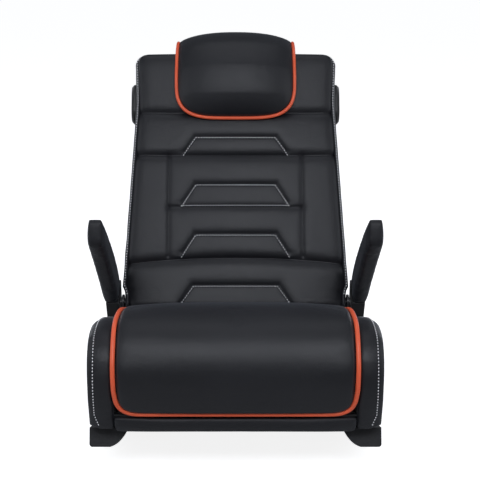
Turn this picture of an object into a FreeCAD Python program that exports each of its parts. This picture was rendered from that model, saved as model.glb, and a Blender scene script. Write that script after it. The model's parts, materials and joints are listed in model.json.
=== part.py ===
import FreeCAD, Part
import math
import os

# Folding floor rocker chair for gaming, with flip-up arms, built-in speakers and a strapped-over headrest.
# Millimetres. X is across the chair, the sitter faces -Y and +Z is up. Side names are those seen by someone
# standing in front of the chair: "left" is at -X and "right" at +X.
# The layout frame has Y = 0 at the foremost face of the seat pad and Z = 0 at the floor. At the end every
# piece is moved along Y so that the origin is under the middle of the chair.

V = FreeCAD.Vector
X_AXIS = V(1, 0, 0)

# Clearances
SEAM_GAP = 0.5            # between sewn panels of one cover
SEAT_GAP = 0.3            # between a piece and what carries it
RUN_GAP = 0.05            # radial play of a pin in its bore
SWING_GAP = 1.5           # side play between parts that swing past each other

# Hinge between seat and backrest
HINGE_Y = 516.0
HINGE_Z = 194.0
RECLINE_DEG = 28.0        # backrest behind the vertical
HINGE_ROLL_R = 28.0       # rounded lower end of the backrest, about the hinge axis

# Seat
PAD_HALF_W = 223.0
PAD_THICK = 50.0
PAD_CROWN = 10.0
PAD_EDGE_LEAN = 3.0        # the pad's underside is this much narrower on each side
PAD_REACH = 160.0          # more than the pad's thickness and crown together
PAD_CORNER_R = 25.0
SEAT_WELT_R = 4.75
BOLSTER_THICK = 23.0
BOLSTER_SHOULDER = 10.0   # drop of the bolster's outer edge below its top
PIPING_DEPTH = 7.0        # centre of the piping below the crown of the pad
SIDE_OUTER_X = 280.0
BOLSTER_INNER_X = PAD_HALF_W + 2 * SEAT_WELT_R + 2 * SEAT_GAP + 1.0
# The seat's top line in side view: the corner points in Y and Z of straight runs joined by arcs.
PAD_LINE = [(12.0, 156.0), (-7.0, 236.0), (45.0, 320.0), (130.0, 334.0), (420.0, 220.0), (470.0, 191.0)]
BOLSTER_LINE = [(34.0, 116.0), (4.0, 205.0), (38.0, 292.0), (120.0, 310.0), (428.0, 188.6)]
SIDE_PANEL_THICK = 18.0
SIDE_PANEL_REAR_Y = 486.0
SKIRT_HEIGHT = 38.0
SKIRT_THICK = 12.0

# Rocker base
RAIL_OUTER_X = 287.0
RAIL_FOOT_W = 35.0
RAIL_EDGE_R = 6.0
RAIL_SEAT_W = 8.0         # flat top of the flare, under the bottom board
RAIL_SWELL = 7.0          # how far the flare's two arcs leave a straight slope
RAIL_HEIGHT = 38.0
FLARE_INNER_X = 190.0
FLARE_HEIGHT = 50.0
REST_FRONT_Y = 395.0      # flat part of the rail, on which the chair stands
REST_LENGTH = 150.0
FRONT_ROLL_R = 909.0
REAR_ROLL_R = 300.0
RAIL_FRONT_Y = 50.0
RAIL_REAR_Y = 612.0
PAN_THICK = 4.0
SCREW_YS = (130.0, 300.0, 470.0)
SCREW_HEAD_R = 4.0
SCREW_HEAD_H = 2.4

# Steel frame
TUBE_R = 11.0
TUBE_BEND_R = 40.0
CROSS_TUBE_R = 9.5
SEAT_HOOP_X = 245.0
HOOP_LOW_Z = RAIL_HEIGHT + TUBE_R + SEAT_GAP
HOOP_RUN_Y = (190.0, 440.0)   # the hoop's upper run is straight between these, just under the straps
HOOP_REAR_Y = 572.0
HOOP_REAR_Z = 103.0
STOP_TUBE_Y = 524.0       # cross tube on which the backrest's stop lugs lean
LOW_TUBE_Y = 250.0
BEND_STEP_DEG = 18.0      # a bend is drawn through rings this far apart
EAR_THICK = 5.0
LUG_THICK = 6.0
EAR_BITE = 1.0            # how far the ear is let into the tube it is welded to
PIVOT_BOLT_R = 5.0
PIVOT_BOLT_DEPTH = 34.0   # how far the hinge bolt reaches into the hinge tube
PIVOT_HEAD_R = 11.0
PIVOT_HEAD_H = 4.0
STRAP_THICK = 2.0
STRAP_W = 50.0

# Backrest
BACK_LENGTH = 590.0
BACK_HALF_W_LOW = 253.5   # at the hinge, between the ears
BACK_HALF_W_HIP = 260.0   # just above the ears
BACK_EAR_Z = 24.5         # the ears turn below this height
BACK_HIP_Z = 33.0
BACK_HALF_W_WAIST = 234.0
BACK_WAIST_Z = 470.0
BACK_HALF_W_TOP = 238.0
BACK_TOP_CORNER_R = 28.0
BACK_REAR = 85.0          # rear face behind the hinge axis
PANEL_REAR = 6.0          # back of the sewn panels, in front of the hinge axis
PANEL_CROWN = 9.0
PANEL_CROWN_HALF_W = 257.0 # half the width over which a panel's crown is drawn
PANEL_BORDER = 6.0
BACK_TUBE_X = 178.0
BACK_TUBE_Y = 34.0
COVER_WALL = 4.0
COVER_EDGE_R = 14.0
PANEL_SHELL_DROP = 12.0   # the rear shell reaches this far below the hinge axis
BACK_BAR_Z = (130.0, 400.0)
SEAM_TOP_Z = 442.0
SEAM_SHOULDER_Z = 340.0
SEAM_MIDDLE_Z = 218.0
SEAM_LUMBAR_Z = 99.0
SEAM_SIDE_X = 155.0
TRAPEZE_LOW_HALF_W = 122.0
TRAPEZE_TOP_HALF_W = 91.0
TRAPEZE_HEIGHT = 53.0
SHOULDER_TRAPEZE_HEIGHT = 44.0
LUMBAR_TRAPEZE_Z = -6.0
LUMBAR_TRAPEZE_HEIGHT = 40.5
LUMBAR_TRAPEZE_TOP_HALF_W = 98.0
GROOVE_W = 3.0
GROOVE_DEPTH = 5.0

# Headrest pillow
PILLOW_HALF_W = 139.0
PILLOW_WELT_R = 4.0
PILLOW_BOTTOM_Z = 430.0
PILLOW_TOP_Z = 644.0
PILLOW_FRONT = 97.0       # front of the pillow, ahead of the hinge axis

# Arms
ARM_PIVOT_Y = 548.0
ARM_INNER_X = 267.0
ARM_PAD_THICK = 36.0
ARM_CORE_THICK = 16.0
ARM_NECK_THICK = 30.0
ARM_BOLT_R = 6.0
ARM_SWING_DEG = 65.0
ARM_STOP_R = 19.0         # radius on which the stop pin runs in its slot
ARM_STOP_PIN_R = 3.0
ARM_STOP_PIN_DEG = 20.0
ARM_SLOT_DEPTH = 8.0
# Side view of the padded sleeve, and of the core's tongue in it: corner points in Y and Z, and their radii
ARM_OUTLINE = [(503.0, 197.0), (243.0, 420.0), (257.0, 477.0), (313.0, 442.0), (389.0, 393.0), (448.0, 351.0),
               (501.0, 305.0), (545.0, 263.0), (571.0, 231.0)]
ARM_RADII = [8.0, 20.0, 14.0, 60.0, 60.0, 60.0, 60.0, 60.0, 8.0]
ARM_TONGUE = [(512.0, 180.0), (500.0, 216.0), (300.0, 388.0), (322.0, 412.0), (520.0, 262.0), (552.0, 226.0),
              (566.0, 190.0)]
ARM_TONGUE_RADII = [4.0, 20.0, 10.0, 10.0, 30.0, 20.0, 4.0]

# Sound
UPPER_SPEAKER_Z = 482.0
UPPER_SPEAKER_Y = 41.0
UPPER_DRIVER_R = 27.0
UPPER_POD_W = 68.0
UPPER_POD_H = 95.0
UPPER_POD_PROUD = 11.0
LOWER_DRIVER_R = 27.0
LOWER_POD_W = 68.0
LOWER_POD_H = 84.0
LOWER_POD_PROUD = 10.0
WOOFER_BOX_HALF_W = 100.0
WOOFER_BOX_HALF_H = 92.0
LOWER_SPEAKER_Y = 140.0
LOWER_SPEAKER_Z = 186.0
WOOFER_Z = 250.0
WOOFER_R = 66.0
CONTROL_Y = 330.0
CONTROL_Z = 112.0
CONTROL_HALF_L = 78.0
CONTROL_HALF_H = 30.0
FACEPLATE_THICK = 2.5
KNOB_Z = CONTROL_Z + 8.0
KNOB_R = 13.0
KNOB_H = 14.0
KNOB_SHAFT_R = 3.0
KNOB_PITCH = 36.0
KNOB_FLUTES = 8
BUTTON_R = 6.0
BUTTON_TRAVEL = 2.5
JACK_Z = CONTROL_Z - 20.0
JACK_R = 4.0
JACK_BORE_R = 1.8
JACK_PITCH = 24.0
JACK_COUNT = 4

parts = {}


# Building blocks

def unit(v):
    return V(v).normalize()


def bent_path(points, bend_r=None):
    """Straight runs joined by tangent arcs. With no radius given, each arc is as large as its runs allow."""
    points = [V(p) for p in points]
    edges = []
    start = points[0]
    for i in range(1, len(points) - 1):
        before, here, after = points[i - 1], points[i], points[i + 1]
        din, dout = unit(here - before), unit(after - here)
        turn = din.getAngle(dout)
        shorter = min((here - before).Length, (after - here).Length)
        reach = 0.5 * shorter
        if bend_r:
            reach = min(reach, bend_r * math.tan(turn / 2))
        radius = reach / math.tan(turn / 2)
        first, last = here - din * reach, here + dout * reach
        middle = unit(dout - din)
        centre = here + middle * math.hypot(reach, radius)
        if (first - start).Length > 1e-6:
            edges.append(Part.LineSegment(start, first).toShape())
        edges.append(Part.Arc(first, centre - middle * radius, last).toShape())
        start = last
    edges.append(Part.LineSegment(start, points[-1]).toShape())
    return Part.Wire(edges)


def sweep(face, path):
    """Carries a face along a path of straight runs and arcs, which starts square to the face."""
    pieces = []
    for edge in path.OrderedEdges:
        first, last = edge.FirstParameter, edge.LastParameter
        if edge.Orientation == "Reversed":
            first, last = last, first
        start, end = edge.valueAt(first), edge.valueAt(last)
        if edge.Curve.TypeId == "Part::GeomLine":
            pieces.append(face.extrude(end - start))
            face = face.translated(end - start)
            continue
        centre = edge.Curve.Center
        along = edge.tangentAt(first) * (1 if last > first else -1)
        axis = unit((start - centre).cross(along))
        turn = math.degrees(abs(last - first))
        pieces.append(face.revolve(centre, axis, turn))
        face = face.copy()
        face.rotate(centre, axis, turn)
    if len(pieces) == 1:
        return pieces[0]
    return pieces[0].fuse(pieces[1:]).removeSplitter()


def path_start(path):
    """First point of a path and the direction in which it leaves."""
    edge = path.OrderedEdges[0]
    first, last = edge.FirstParameter, edge.LastParameter
    if edge.Orientation == "Reversed":
        return edge.valueAt(last), edge.tangentAt(last) * -1
    return edge.valueAt(first), edge.tangentAt(first)


def tube(path, radius):
    """Round bar along a path. Each bend goes through rings a few degrees apart."""
    pieces = []
    for edge in path.OrderedEdges:
        first, last = edge.FirstParameter, edge.LastParameter
        start, end = edge.valueAt(first), edge.valueAt(last)
        if edge.Curve.TypeId == "Part::GeomLine":
            pieces.append(Part.makeCylinder(radius, edge.Length, start, end - start))
            continue
        steps = math.ceil(math.degrees(last - first) / BEND_STEP_DEG)
        rings = []
        for i in range(steps + 1):
            at = first + (last - first) * i / steps
            rings.append(Part.Wire([Part.makeCircle(radius, edge.valueAt(at), edge.tangentAt(at))]))
        pieces.append(Part.makeLoft(rings, True, True))
    return pieces[0].fuse(pieces[1:])


def offset_path(path, depth, x=0.0):
    """The same side-view path, moved square to itself by a depth towards its lower side."""
    edges = []
    for edge in path.OrderedEdges:
        shares = (0.0, 0.5, 1.0) if edge.Orientation != "Reversed" else (1.0, 0.5, 0.0)
        moved = []
        for share in shares:
            at = edge.FirstParameter + share * (edge.LastParameter - edge.FirstParameter)
            along = edge.tangentAt(at) * (1 if shares[0] == 0.0 else -1)
            moved.append(edge.valueAt(at) - X_AXIS.cross(along) * depth + V(x, 0, 0))
        if edge.Curve.TypeId == "Part::GeomLine":
            edges.append(Part.LineSegment(moved[0], moved[2]).toShape())
        else:
            edges.append(Part.Arc(*moved).toShape())
    return Part.Wire(edges)


def closed_outline(points, radii):
    """Closed wire through the corner points, each rounded by its own radius; a radius of 0 keeps it sharp."""
    points = [V(p) for p in points]
    count = len(points)
    if not hasattr(radii, "__len__"):
        radii = [radii] * count
    ends = []
    for i, here in enumerate(points):
        din, dout = unit(here - points[i - 1]), unit(points[(i + 1) % count] - here)
        radius = radii[i]
        turn = din.getAngle(dout)
        if radius <= 0 or turn < 1e-4:
            ends.append((here, None, here))
            continue
        reach = radius * math.tan(turn / 2)
        middle = unit(dout - din)
        centre = here + middle * math.hypot(reach, radius)
        ends.append((here - din * reach, centre - middle * radius, here + dout * reach))
    edges = []
    for i, (first, over, last) in enumerate(ends):
        if over:
            edges.append(Part.Arc(first, over, last).toShape())
        following = ends[(i + 1) % count][0]
        if (following - last).Length > 1e-6:
            edges.append(Part.LineSegment(last, following).toShape())
    return Part.Wire(Part.__sortEdges__(edges))


def side_prism(yz_points, radii, x_low, x_high):
    """A side-view outline in Y and Z, extruded across the chair."""
    wire = closed_outline([V(x_low, y, z) for y, z in yz_points], radii)
    return Part.Face(wire).extrude(V(x_high - x_low, 0, 0))


def front_prism(xz_points, radii, y_low, y_high):
    """A front-view outline in X and Z, extruded from front to back."""
    wire = closed_outline([V(x, y_low, z) for x, z in xz_points], radii)
    return Part.Face(wire).extrude(V(0, y_high - y_low, 0))


def block(x0, x1, y0, y1, z0, z1):
    return Part.makeBox(x1 - x0, y1 - y0, z1 - z0, V(x0, y0, z0))


def rod(radius, x0, x1, y, z):
    return Part.makeCylinder(radius, x1 - x0, V(x0, y, z), X_AXIS)


def mirrored(shape):
    return shape.mirror(V(0, 0, 0), X_AXIS)


def both_sides(right_shape):
    """The piece at +X and its mirror image at -X."""
    return [("right", right_shape), ("left", mirrored(right_shape))]


def round_edges(shape, radius, wanted):
    """Rounds the edges whose midpoint the wanted function picks."""
    picked = [e for e in shape.Edges if wanted(e.valueAt((e.FirstParameter + e.LastParameter) / 2))]
    return shape.makeFillet(radius, picked)


def recline(shape):
    """Takes a backrest piece from its upright frame, with the hinge axis at the origin, to its place."""
    shape = shape.copy()
    shape.rotate(V(0, 0, 0), X_AXIS, -RECLINE_DEG)
    shape.translate(V(0, HINGE_Y, HINGE_Z))
    return shape


def keep(name, shape):
    solids = shape if isinstance(shape, list) else [shape]
    parts[name] = Part.makeCompound(solids) if len(solids) > 1 else solids[0]


# Seat cushions

def side_path(line):
    return bent_path([V(0, y, z) for y, z in line])


def at_start(path):
    """Gives a function that places a point by its X and its depth under the start of a path."""
    start, along = path_start(path)
    up = X_AXIS.cross(along)
    return lambda x, depth: start + X_AXIS * x - up * depth


def seat_pad():
    """One long crowned cushion, carried from the foot of the front over the nose and down to the hinge."""
    path = side_path(PAD_LINE)
    at = at_start(path)
    low = PAD_HALF_W - PAD_EDGE_LEAN
    shares = (-1.0, -0.93, -0.8, -0.5, 0.0, 0.5, 0.8, 0.93, 1.0)
    crown = Part.BSplineCurve()
    crown.interpolate([at(share * PAD_HALF_W, PAD_CROWN * share ** 4) for share in shares])
    section = Part.Wire([
        crown.toShape(),
        Part.LineSegment(at(PAD_HALF_W, PAD_CROWN), at(low, PAD_THICK)).toShape(),
        Part.LineSegment(at(low, PAD_THICK), at(-low, PAD_THICK)).toShape(),
        Part.LineSegment(at(-low, PAD_THICK), at(-PAD_HALF_W, PAD_CROWN)).toShape(),
    ])
    pad = sweep(Part.Face(section), path)
    start, along = path_start(path)
    through = X_AXIS.cross(along)
    beyond = 2 * PAD_CORNER_R
    for side in (-1, 1):
        centre = start + along * PAD_CORNER_R + X_AXIS * (side * (PAD_HALF_W - PAD_CORNER_R))
        under = centre - through * (PAD_REACH / 2)
        round_part = Part.makeCylinder(PAD_CORNER_R, PAD_REACH, under, through)
        corners = ((0, 0), (side * beyond, 0), (side * beyond, -beyond), (0, -beyond), (0, 0))
        square = Part.makePolygon([under + X_AXIS * a + along * b for a, b in corners])
        pad = pad.cut(Part.Face(square).extrude(through * PAD_REACH).cut(round_part))
    roll_room = rod(HINGE_ROLL_R + SWING_GAP, -300, 300, HINGE_Y, HINGE_Z)
    keep("seat_pad", pad.cut(roll_room))


def seat_welt():
    """Piping round the pad: up one side over the nose, and across the foot of the front."""
    x = PAD_HALF_W + SEAT_WELT_R + SEAT_GAP
    corner_r = PAD_CORNER_R + SEAT_WELT_R + SEAT_GAP
    side = offset_path(side_path(PAD_LINE), PIPING_DEPTH, -x)
    start, along = path_start(side)
    corner = start + along * (corner_r - SEAT_WELT_R - SEAT_GAP)
    turned = 1 - math.sqrt(0.5)
    run_start = corner + X_AXIS * corner_r - along * corner_r
    over = corner + X_AXIS * (corner_r * turned) - along * (corner_r * math.sqrt(0.5))
    across = V(-run_start.x, run_start.y, run_start.z)
    first = side.OrderedEdges[0]
    rest = side.OrderedEdges[1:]
    left_run = Part.LineSegment(corner, first.valueAt(first.LastParameter)).toShape()
    foot = Part.LineSegment(V(0, run_start.y, run_start.z), run_start).toShape()
    half = [foot, Part.Arc(run_start, over, corner).toShape(), left_run] + rest
    left = tube(Part.Wire(half), SEAT_WELT_R)
    keep("seat_piping", left.fuse(mirrored(left)).removeSplitter())


def bolsters():
    """Narrow side cushions, a little lower and further back than the pad."""
    inner_x, outer_x = BOLSTER_INNER_X, SIDE_OUTER_X - 1.0
    path = side_path(BOLSTER_LINE)
    at = at_start(path)
    section = Part.Wire([
        Part.LineSegment(at(inner_x, BOLSTER_THICK), at(inner_x, 3)).toShape(),
        Part.Arc(at(inner_x, 3), at((inner_x + outer_x) / 2, 0), at(outer_x, BOLSTER_SHOULDER)).toShape(),
        Part.LineSegment(at(outer_x, BOLSTER_SHOULDER), at(outer_x, BOLSTER_THICK)).toShape(),
        Part.LineSegment(at(outer_x, BOLSTER_THICK), at(inner_x, BOLSTER_THICK)).toShape(),
    ])
    for side, shape in both_sides(sweep(Part.Face(section), path)):
        keep("seat_bolster_" + side, shape)


# Rocker base

def rail_z(y):
    """Height of the rail's sole above the floor."""
    if y < REST_FRONT_Y:
        return FRONT_ROLL_R - math.sqrt(FRONT_ROLL_R ** 2 - (REST_FRONT_Y - y) ** 2)
    rear = REST_FRONT_Y + REST_LENGTH
    if y > rear:
        return REAR_ROLL_R - math.sqrt(REAR_ROLL_R ** 2 - (y - rear) ** 2)
    return 0.0


def sole_path(lift, front_y=RAIL_FRONT_Y, rear_y=RAIL_REAR_Y):
    """The sole line, lifted square to itself: front roll, flat rest, rear roll."""
    rest_rear = REST_FRONT_Y + REST_LENGTH
    front_r, rear_r = FRONT_ROLL_R - lift, REAR_ROLL_R - lift
    front_turn = math.asin((REST_FRONT_Y - front_y) / FRONT_ROLL_R)
    rear_turn = math.asin((rear_y - rest_rear) / REAR_ROLL_R)

    def front_at(turn):
        return V(0, REST_FRONT_Y - front_r * math.sin(turn), FRONT_ROLL_R - front_r * math.cos(turn))

    def rear_at(turn):
        return V(0, rest_rear + rear_r * math.sin(turn), REAR_ROLL_R - rear_r * math.cos(turn))

    return Part.Wire([
        Part.Arc(front_at(front_turn), front_at(front_turn / 2), front_at(0)).toShape(),
        Part.LineSegment(front_at(0), rear_at(0)).toShape(),
        Part.Arc(rear_at(0), rear_at(rear_turn / 2), rear_at(rear_turn)).toShape(),
    ])


def swept_section(section, path):
    """Sweeps a cross-section, given in X and height above the sole, along the sole line."""
    start, along = path_start(path)
    up = X_AXIS.cross(along)
    return sweep(Part.Face(section(lambda x, h: start + X_AXIS * x + up * h)), path)


def rocker_rails():
    """Moulded rails: a foot with a flat top for the side wall, and a flare that carries the bottom board."""
    r, bevel = RAIL_EDGE_R, RAIL_EDGE_R * (1 - math.sqrt(0.5))
    outer, foot_outer, foot_inner = RAIL_OUTER_X, RAIL_OUTER_X - r, RAIL_OUTER_X - RAIL_FOOT_W - r
    step_x, seat_x = SEAT_HOOP_X - TUBE_R - 4.0, FLARE_INNER_X + RAIL_SEAT_W
    mid_x, mid_h = (FLARE_INNER_X + foot_inner) / 2, FLARE_HEIGHT / 2
    quarter_x = (mid_x - FLARE_INNER_X) / 2

    def section(at):
        corners = [at(outer, r), at(outer, RAIL_HEIGHT), at(step_x, RAIL_HEIGHT), at(seat_x, FLARE_HEIGHT),
                   at(FLARE_INNER_X, FLARE_HEIGHT)]
        upper = (at(FLARE_INNER_X, FLARE_HEIGHT), at(FLARE_INNER_X + quarter_x, FLARE_HEIGHT - RAIL_SWELL))
        lower = (at(foot_inner - quarter_x, RAIL_SWELL), at(foot_inner, 0))
        runs = [Part.LineSegment(p, q).toShape() for p, q in zip(corners, corners[1:])]
        return Part.Wire([
            Part.LineSegment(at(foot_inner, 0), at(foot_outer, 0)).toShape(),
            Part.Arc(at(foot_outer, 0), at(outer - bevel, bevel), at(outer, r)).toShape(),
        ] + runs + [
            Part.Arc(*upper, at(mid_x, mid_h)).toShape(),
            Part.Arc(at(mid_x, mid_h), *lower).toShape(),
        ])

    for side, shape in both_sides(swept_section(section, sole_path(0.0))):
        keep("rocker_rail_" + side, shape)


def base_pan():
    """Bottom board between the rails, following the same curve."""
    lift = FLARE_HEIGHT + SEAT_GAP

    def section(at):
        half = FLARE_INNER_X + 7.0
        corners = [at(-half, 0), at(half, 0), at(half, PAN_THICK), at(-half, PAN_THICK), at(-half, 0)]
        return Part.makePolygon(corners)

    keep("base_pan", swept_section(section, sole_path(lift, RAIL_FRONT_Y - 8.0, RAIL_REAR_Y - 12.0)))


# Seat structure

def pad_under_z(y, depth):
    """Height of the line a depth below the pad's straight top run."""
    (ya, za), (yb, zb) = PAD_LINE[3], PAD_LINE[4]
    slope = (zb - za) / (yb - ya)
    return za + slope * (y - ya) - depth * math.hypot(1.0, slope)


STRAP_SPACE = PAD_THICK + STRAP_THICK + 2 * SEAT_GAP
HOOP_TOP = [(y, pad_under_z(y, STRAP_SPACE + TUBE_R)) for y in HOOP_RUN_Y]
HOOP_POINTS = [(72.0, 122.0), (66.0, 195.0), (95.0, 236.0), HOOP_TOP[0], HOOP_TOP[1],
               (HOOP_REAR_Y, HOOP_REAR_Z), (HOOP_REAR_Y - 4.0, HOOP_LOW_Z), (REST_FRONT_Y, HOOP_LOW_Z)]


def hoop_z(y):
    """Height of the hoop's upper run at a given Y."""
    (ya, za), (yb, zb), (yc, zc) = HOOP_POINTS[3], HOOP_POINTS[4], HOOP_POINTS[5]
    if y < yb:
        return za + (zb - za) * (y - ya) / (yb - ya)
    return zb + (zc - zb) * (y - yb) / (yc - yb)


def low_run_z(y):
    """Height of the hoop's rising run from the rest up to the front."""
    (ya, za), (yb, zb) = HOOP_POINTS[0], HOOP_POINTS[7]
    return za + (zb - za) * (y - ya) / (yb - ya)


def cross_bar(radius, half_length, y, z):
    return rod(radius, -half_length, half_length, y, z)


def arm_pivot():
    return ARM_PIVOT_Y, hoop_z(ARM_PIVOT_Y)


def arm_stop_point(turn):
    """Centre of the stop pin's place on its circle, turned up from straight ahead of the pivot."""
    y, z = arm_pivot()
    angle = math.radians(turn)
    return y - ARM_STOP_R * math.cos(angle), z + ARM_STOP_R * math.sin(angle)


def seat_frame():
    loop = [V(SEAT_HOOP_X, y, z) for y, z in HOOP_POINTS]
    middle_of_top = V(SEAT_HOOP_X, 300.0, hoop_z(300.0))
    path = bent_path([middle_of_top] + loop[4:] + loop[:4] + [middle_of_top], TUBE_BEND_R)
    hoop = tube(path, TUBE_R)
    ear_x = SEAT_HOOP_X + TUBE_R - EAR_BITE
    ear = side_prism(
        [(HINGE_Y - 22, hoop_z(HINGE_Y) - 6), (HINGE_Y + 24, hoop_z(HINGE_Y) - 12),
         (HINGE_Y + 16, HINGE_Z + 17), (HINGE_Y - 16, HINGE_Z + 17)],
        [4, 4, 15, 15], ear_x, ear_x + EAR_THICK)
    ear = ear.cut(rod(PIVOT_BOLT_R + RUN_GAP, 200, 300, HINGE_Y, HINGE_Z))
    pivot_y, pivot_z = arm_pivot()
    flange_x = ARM_INNER_X - RUN_GAP
    boss = rod(15.0, SEAT_HOOP_X, flange_x, pivot_y, pivot_z)
    flange = rod(ARM_STOP_R + 6.0, flange_x - 4.0, flange_x, pivot_y, pivot_z)
    stop_y, stop_z = arm_stop_point(ARM_STOP_PIN_DEG)
    pin = rod(ARM_STOP_PIN_R, flange_x - 4.0, flange_x + 7.0, stop_y, stop_z)
    side = hoop.fuse([ear, boss, flange, pin])
    side = side.cut(rod(ARM_BOLT_R + RUN_GAP, SEAT_HOOP_X - 20, 300, pivot_y, pivot_z))
    frame = side.fuse(mirrored(side))
    reach = SEAT_HOOP_X - 0.5 * TUBE_R
    front_y, front_z = HOOP_POINTS[0]
    crosses = [(front_y + 4.0, front_z + 8.0), (HOOP_RUN_Y[1], hoop_z(HOOP_RUN_Y[1]) - 6.5),
               (STOP_TUBE_Y, hoop_z(STOP_TUBE_Y)), (LOW_TUBE_Y, low_run_z(LOW_TUBE_Y))]
    frame = frame.fuse([cross_bar(CROSS_TUBE_R, reach, y, z) for y, z in crosses])
    keep("seat_frame", frame)


def seat_webbing():
    """Elastic straps over the upper runs of the hoops, just under the pad."""
    slope = math.degrees(math.atan2(hoop_z(400.0) - hoop_z(200.0), 200.0))
    straps = []
    for y in (215.0, 275.0, 335.0):
        strap = block(-SEAT_HOOP_X, SEAT_HOOP_X, -STRAP_W / 2, STRAP_W / 2, 0, STRAP_THICK)
        strap.rotate(V(0, 0, 0), X_AXIS, slope)
        above = TUBE_R + SEAT_GAP / 2
        along = math.radians(slope)
        strap.translate(V(0, y - above * math.sin(along), hoop_z(y) + above * math.cos(along)))
        straps.append(strap)
    keep("seat_webbing", straps)


def rail_top_z(y):
    """Height of the top of the rail under the side panel."""
    lean = math.asin(max(0.0, REST_FRONT_Y - y) / FRONT_ROLL_R)
    return rail_z(y) + RAIL_HEIGHT / math.cos(lean)


def side_panels():
    inner_x = SIDE_OUTER_X - SIDE_PANEL_THICK
    top = offset_path(side_path(BOLSTER_LINE), BOLSTER_THICK + SEAM_GAP, inner_x)
    ends = [top.OrderedVertexes[0].Point, top.OrderedVertexes[-1].Point]
    front, rear = sorted(ends, key=lambda p: p.y)
    rear_top = V(inner_x, SIDE_PANEL_REAR_Y, rear.z - 0.5 * (SIDE_PANEL_REAR_Y - rear.y))
    sole_ys = (SIDE_PANEL_REAR_Y, REST_FRONT_Y, 280.0, 165.0, 66.0)
    lower = [V(inner_x, y, rail_top_z(y) + SEAT_GAP) for y in sole_ys]
    rest = [rear, rear_top] + lower + [front]
    edges = list(top.OrderedEdges) + [Part.LineSegment(a, b).toShape() for a, b in zip(rest, rest[1:])]
    panel = Part.Face(Part.Wire(Part.__sortEdges__(edges))).extrude(V(SIDE_PANEL_THICK, 0, 0))
    hole_r = LOWER_DRIVER_R + SEAT_GAP
    panel = panel.cut(rod(hole_r, inner_x - 1, SIDE_OUTER_X + 1, LOWER_SPEAKER_Y, LOWER_SPEAKER_Z))
    for side, shape in both_sides(panel):
        if side == "left":
            shape = shape.cut(control_block(-SIDE_OUTER_X - 1, -inner_x + 1, SEAT_GAP))
        keep("side_panel_" + side, shape)


def front_skirt():
    """Upholstered board under the pad, from its piping down to the rails."""
    half_w = BOLSTER_INNER_X - SEAM_GAP
    y, z = PAD_LINE[0]
    top_z = z - 2 * SEAT_WELT_R - 2 * SEAT_GAP
    low_y, low_z = y + 22.0, top_z - SKIRT_HEIGHT
    outline = [(y + 4, top_z), (y + 7, top_z - 0.45 * SKIRT_HEIGHT), (low_y, low_z),
               (low_y + SKIRT_THICK, low_z + 6), (y + 4 + SKIRT_THICK, top_z)]
    keep("seat_front_skirt", side_prism(outline, [3, 18, 4, 3, 3], -half_w, half_w))


def rear_board():
    """Closes the back of the seat, behind the hoops."""
    y = (HOOP_POINTS[5][0] + HOOP_POINTS[6][0]) / 2 + TUBE_R + SEAT_GAP
    half_w = SEAT_HOOP_X + TUBE_R
    low, high = rail_z(y) + FLARE_HEIGHT + PAN_THICK + 3.0, HOOP_REAR_Z + 14.0
    outline = [(-half_w, low), (half_w, low), (half_w - 8, high), (-half_w + 8, high)]
    keep("rear_board", front_prism(outline, [4, 4, 16, 16], y, y + 4.0))


def rail_screws():
    """Pan-head screws through the bottom board into the flare of each rail."""
    screws = []
    lift = FLARE_HEIGHT + PAN_THICK + 2 * SEAT_GAP
    for y in SCREW_YS:
        turn = math.asin(max(0.0, REST_FRONT_Y - y) / FRONT_ROLL_R)
        up = V(0, math.sin(turn), math.cos(turn))
        for x in (-FLARE_INNER_X - RAIL_SEAT_W / 2, FLARE_INNER_X + RAIL_SEAT_W / 2):
            screws.append(Part.makeCylinder(SCREW_HEAD_R, SCREW_HEAD_H, V(x, y, rail_z(y)) + up * lift, up))
    keep("rail_screws", screws)


# Arms

def arm_tongue(grow):
    x_mid = ARM_INNER_X + ARM_PAD_THICK / 2
    half = ARM_CORE_THICK / 2 + grow
    core = side_prism(ARM_TONGUE, ARM_TONGUE_RADII, x_mid - half, x_mid + half)
    if grow:
        widened = [core]
        for y, z in ((grow, grow), (-grow, -grow), (grow, -grow), (-grow, grow)):
            shifted = core.copy()
            shifted.translate(V(0, y, z))
            widened.append(shifted)
        core = widened[0].fuse(widened[1:])
    return core


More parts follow.
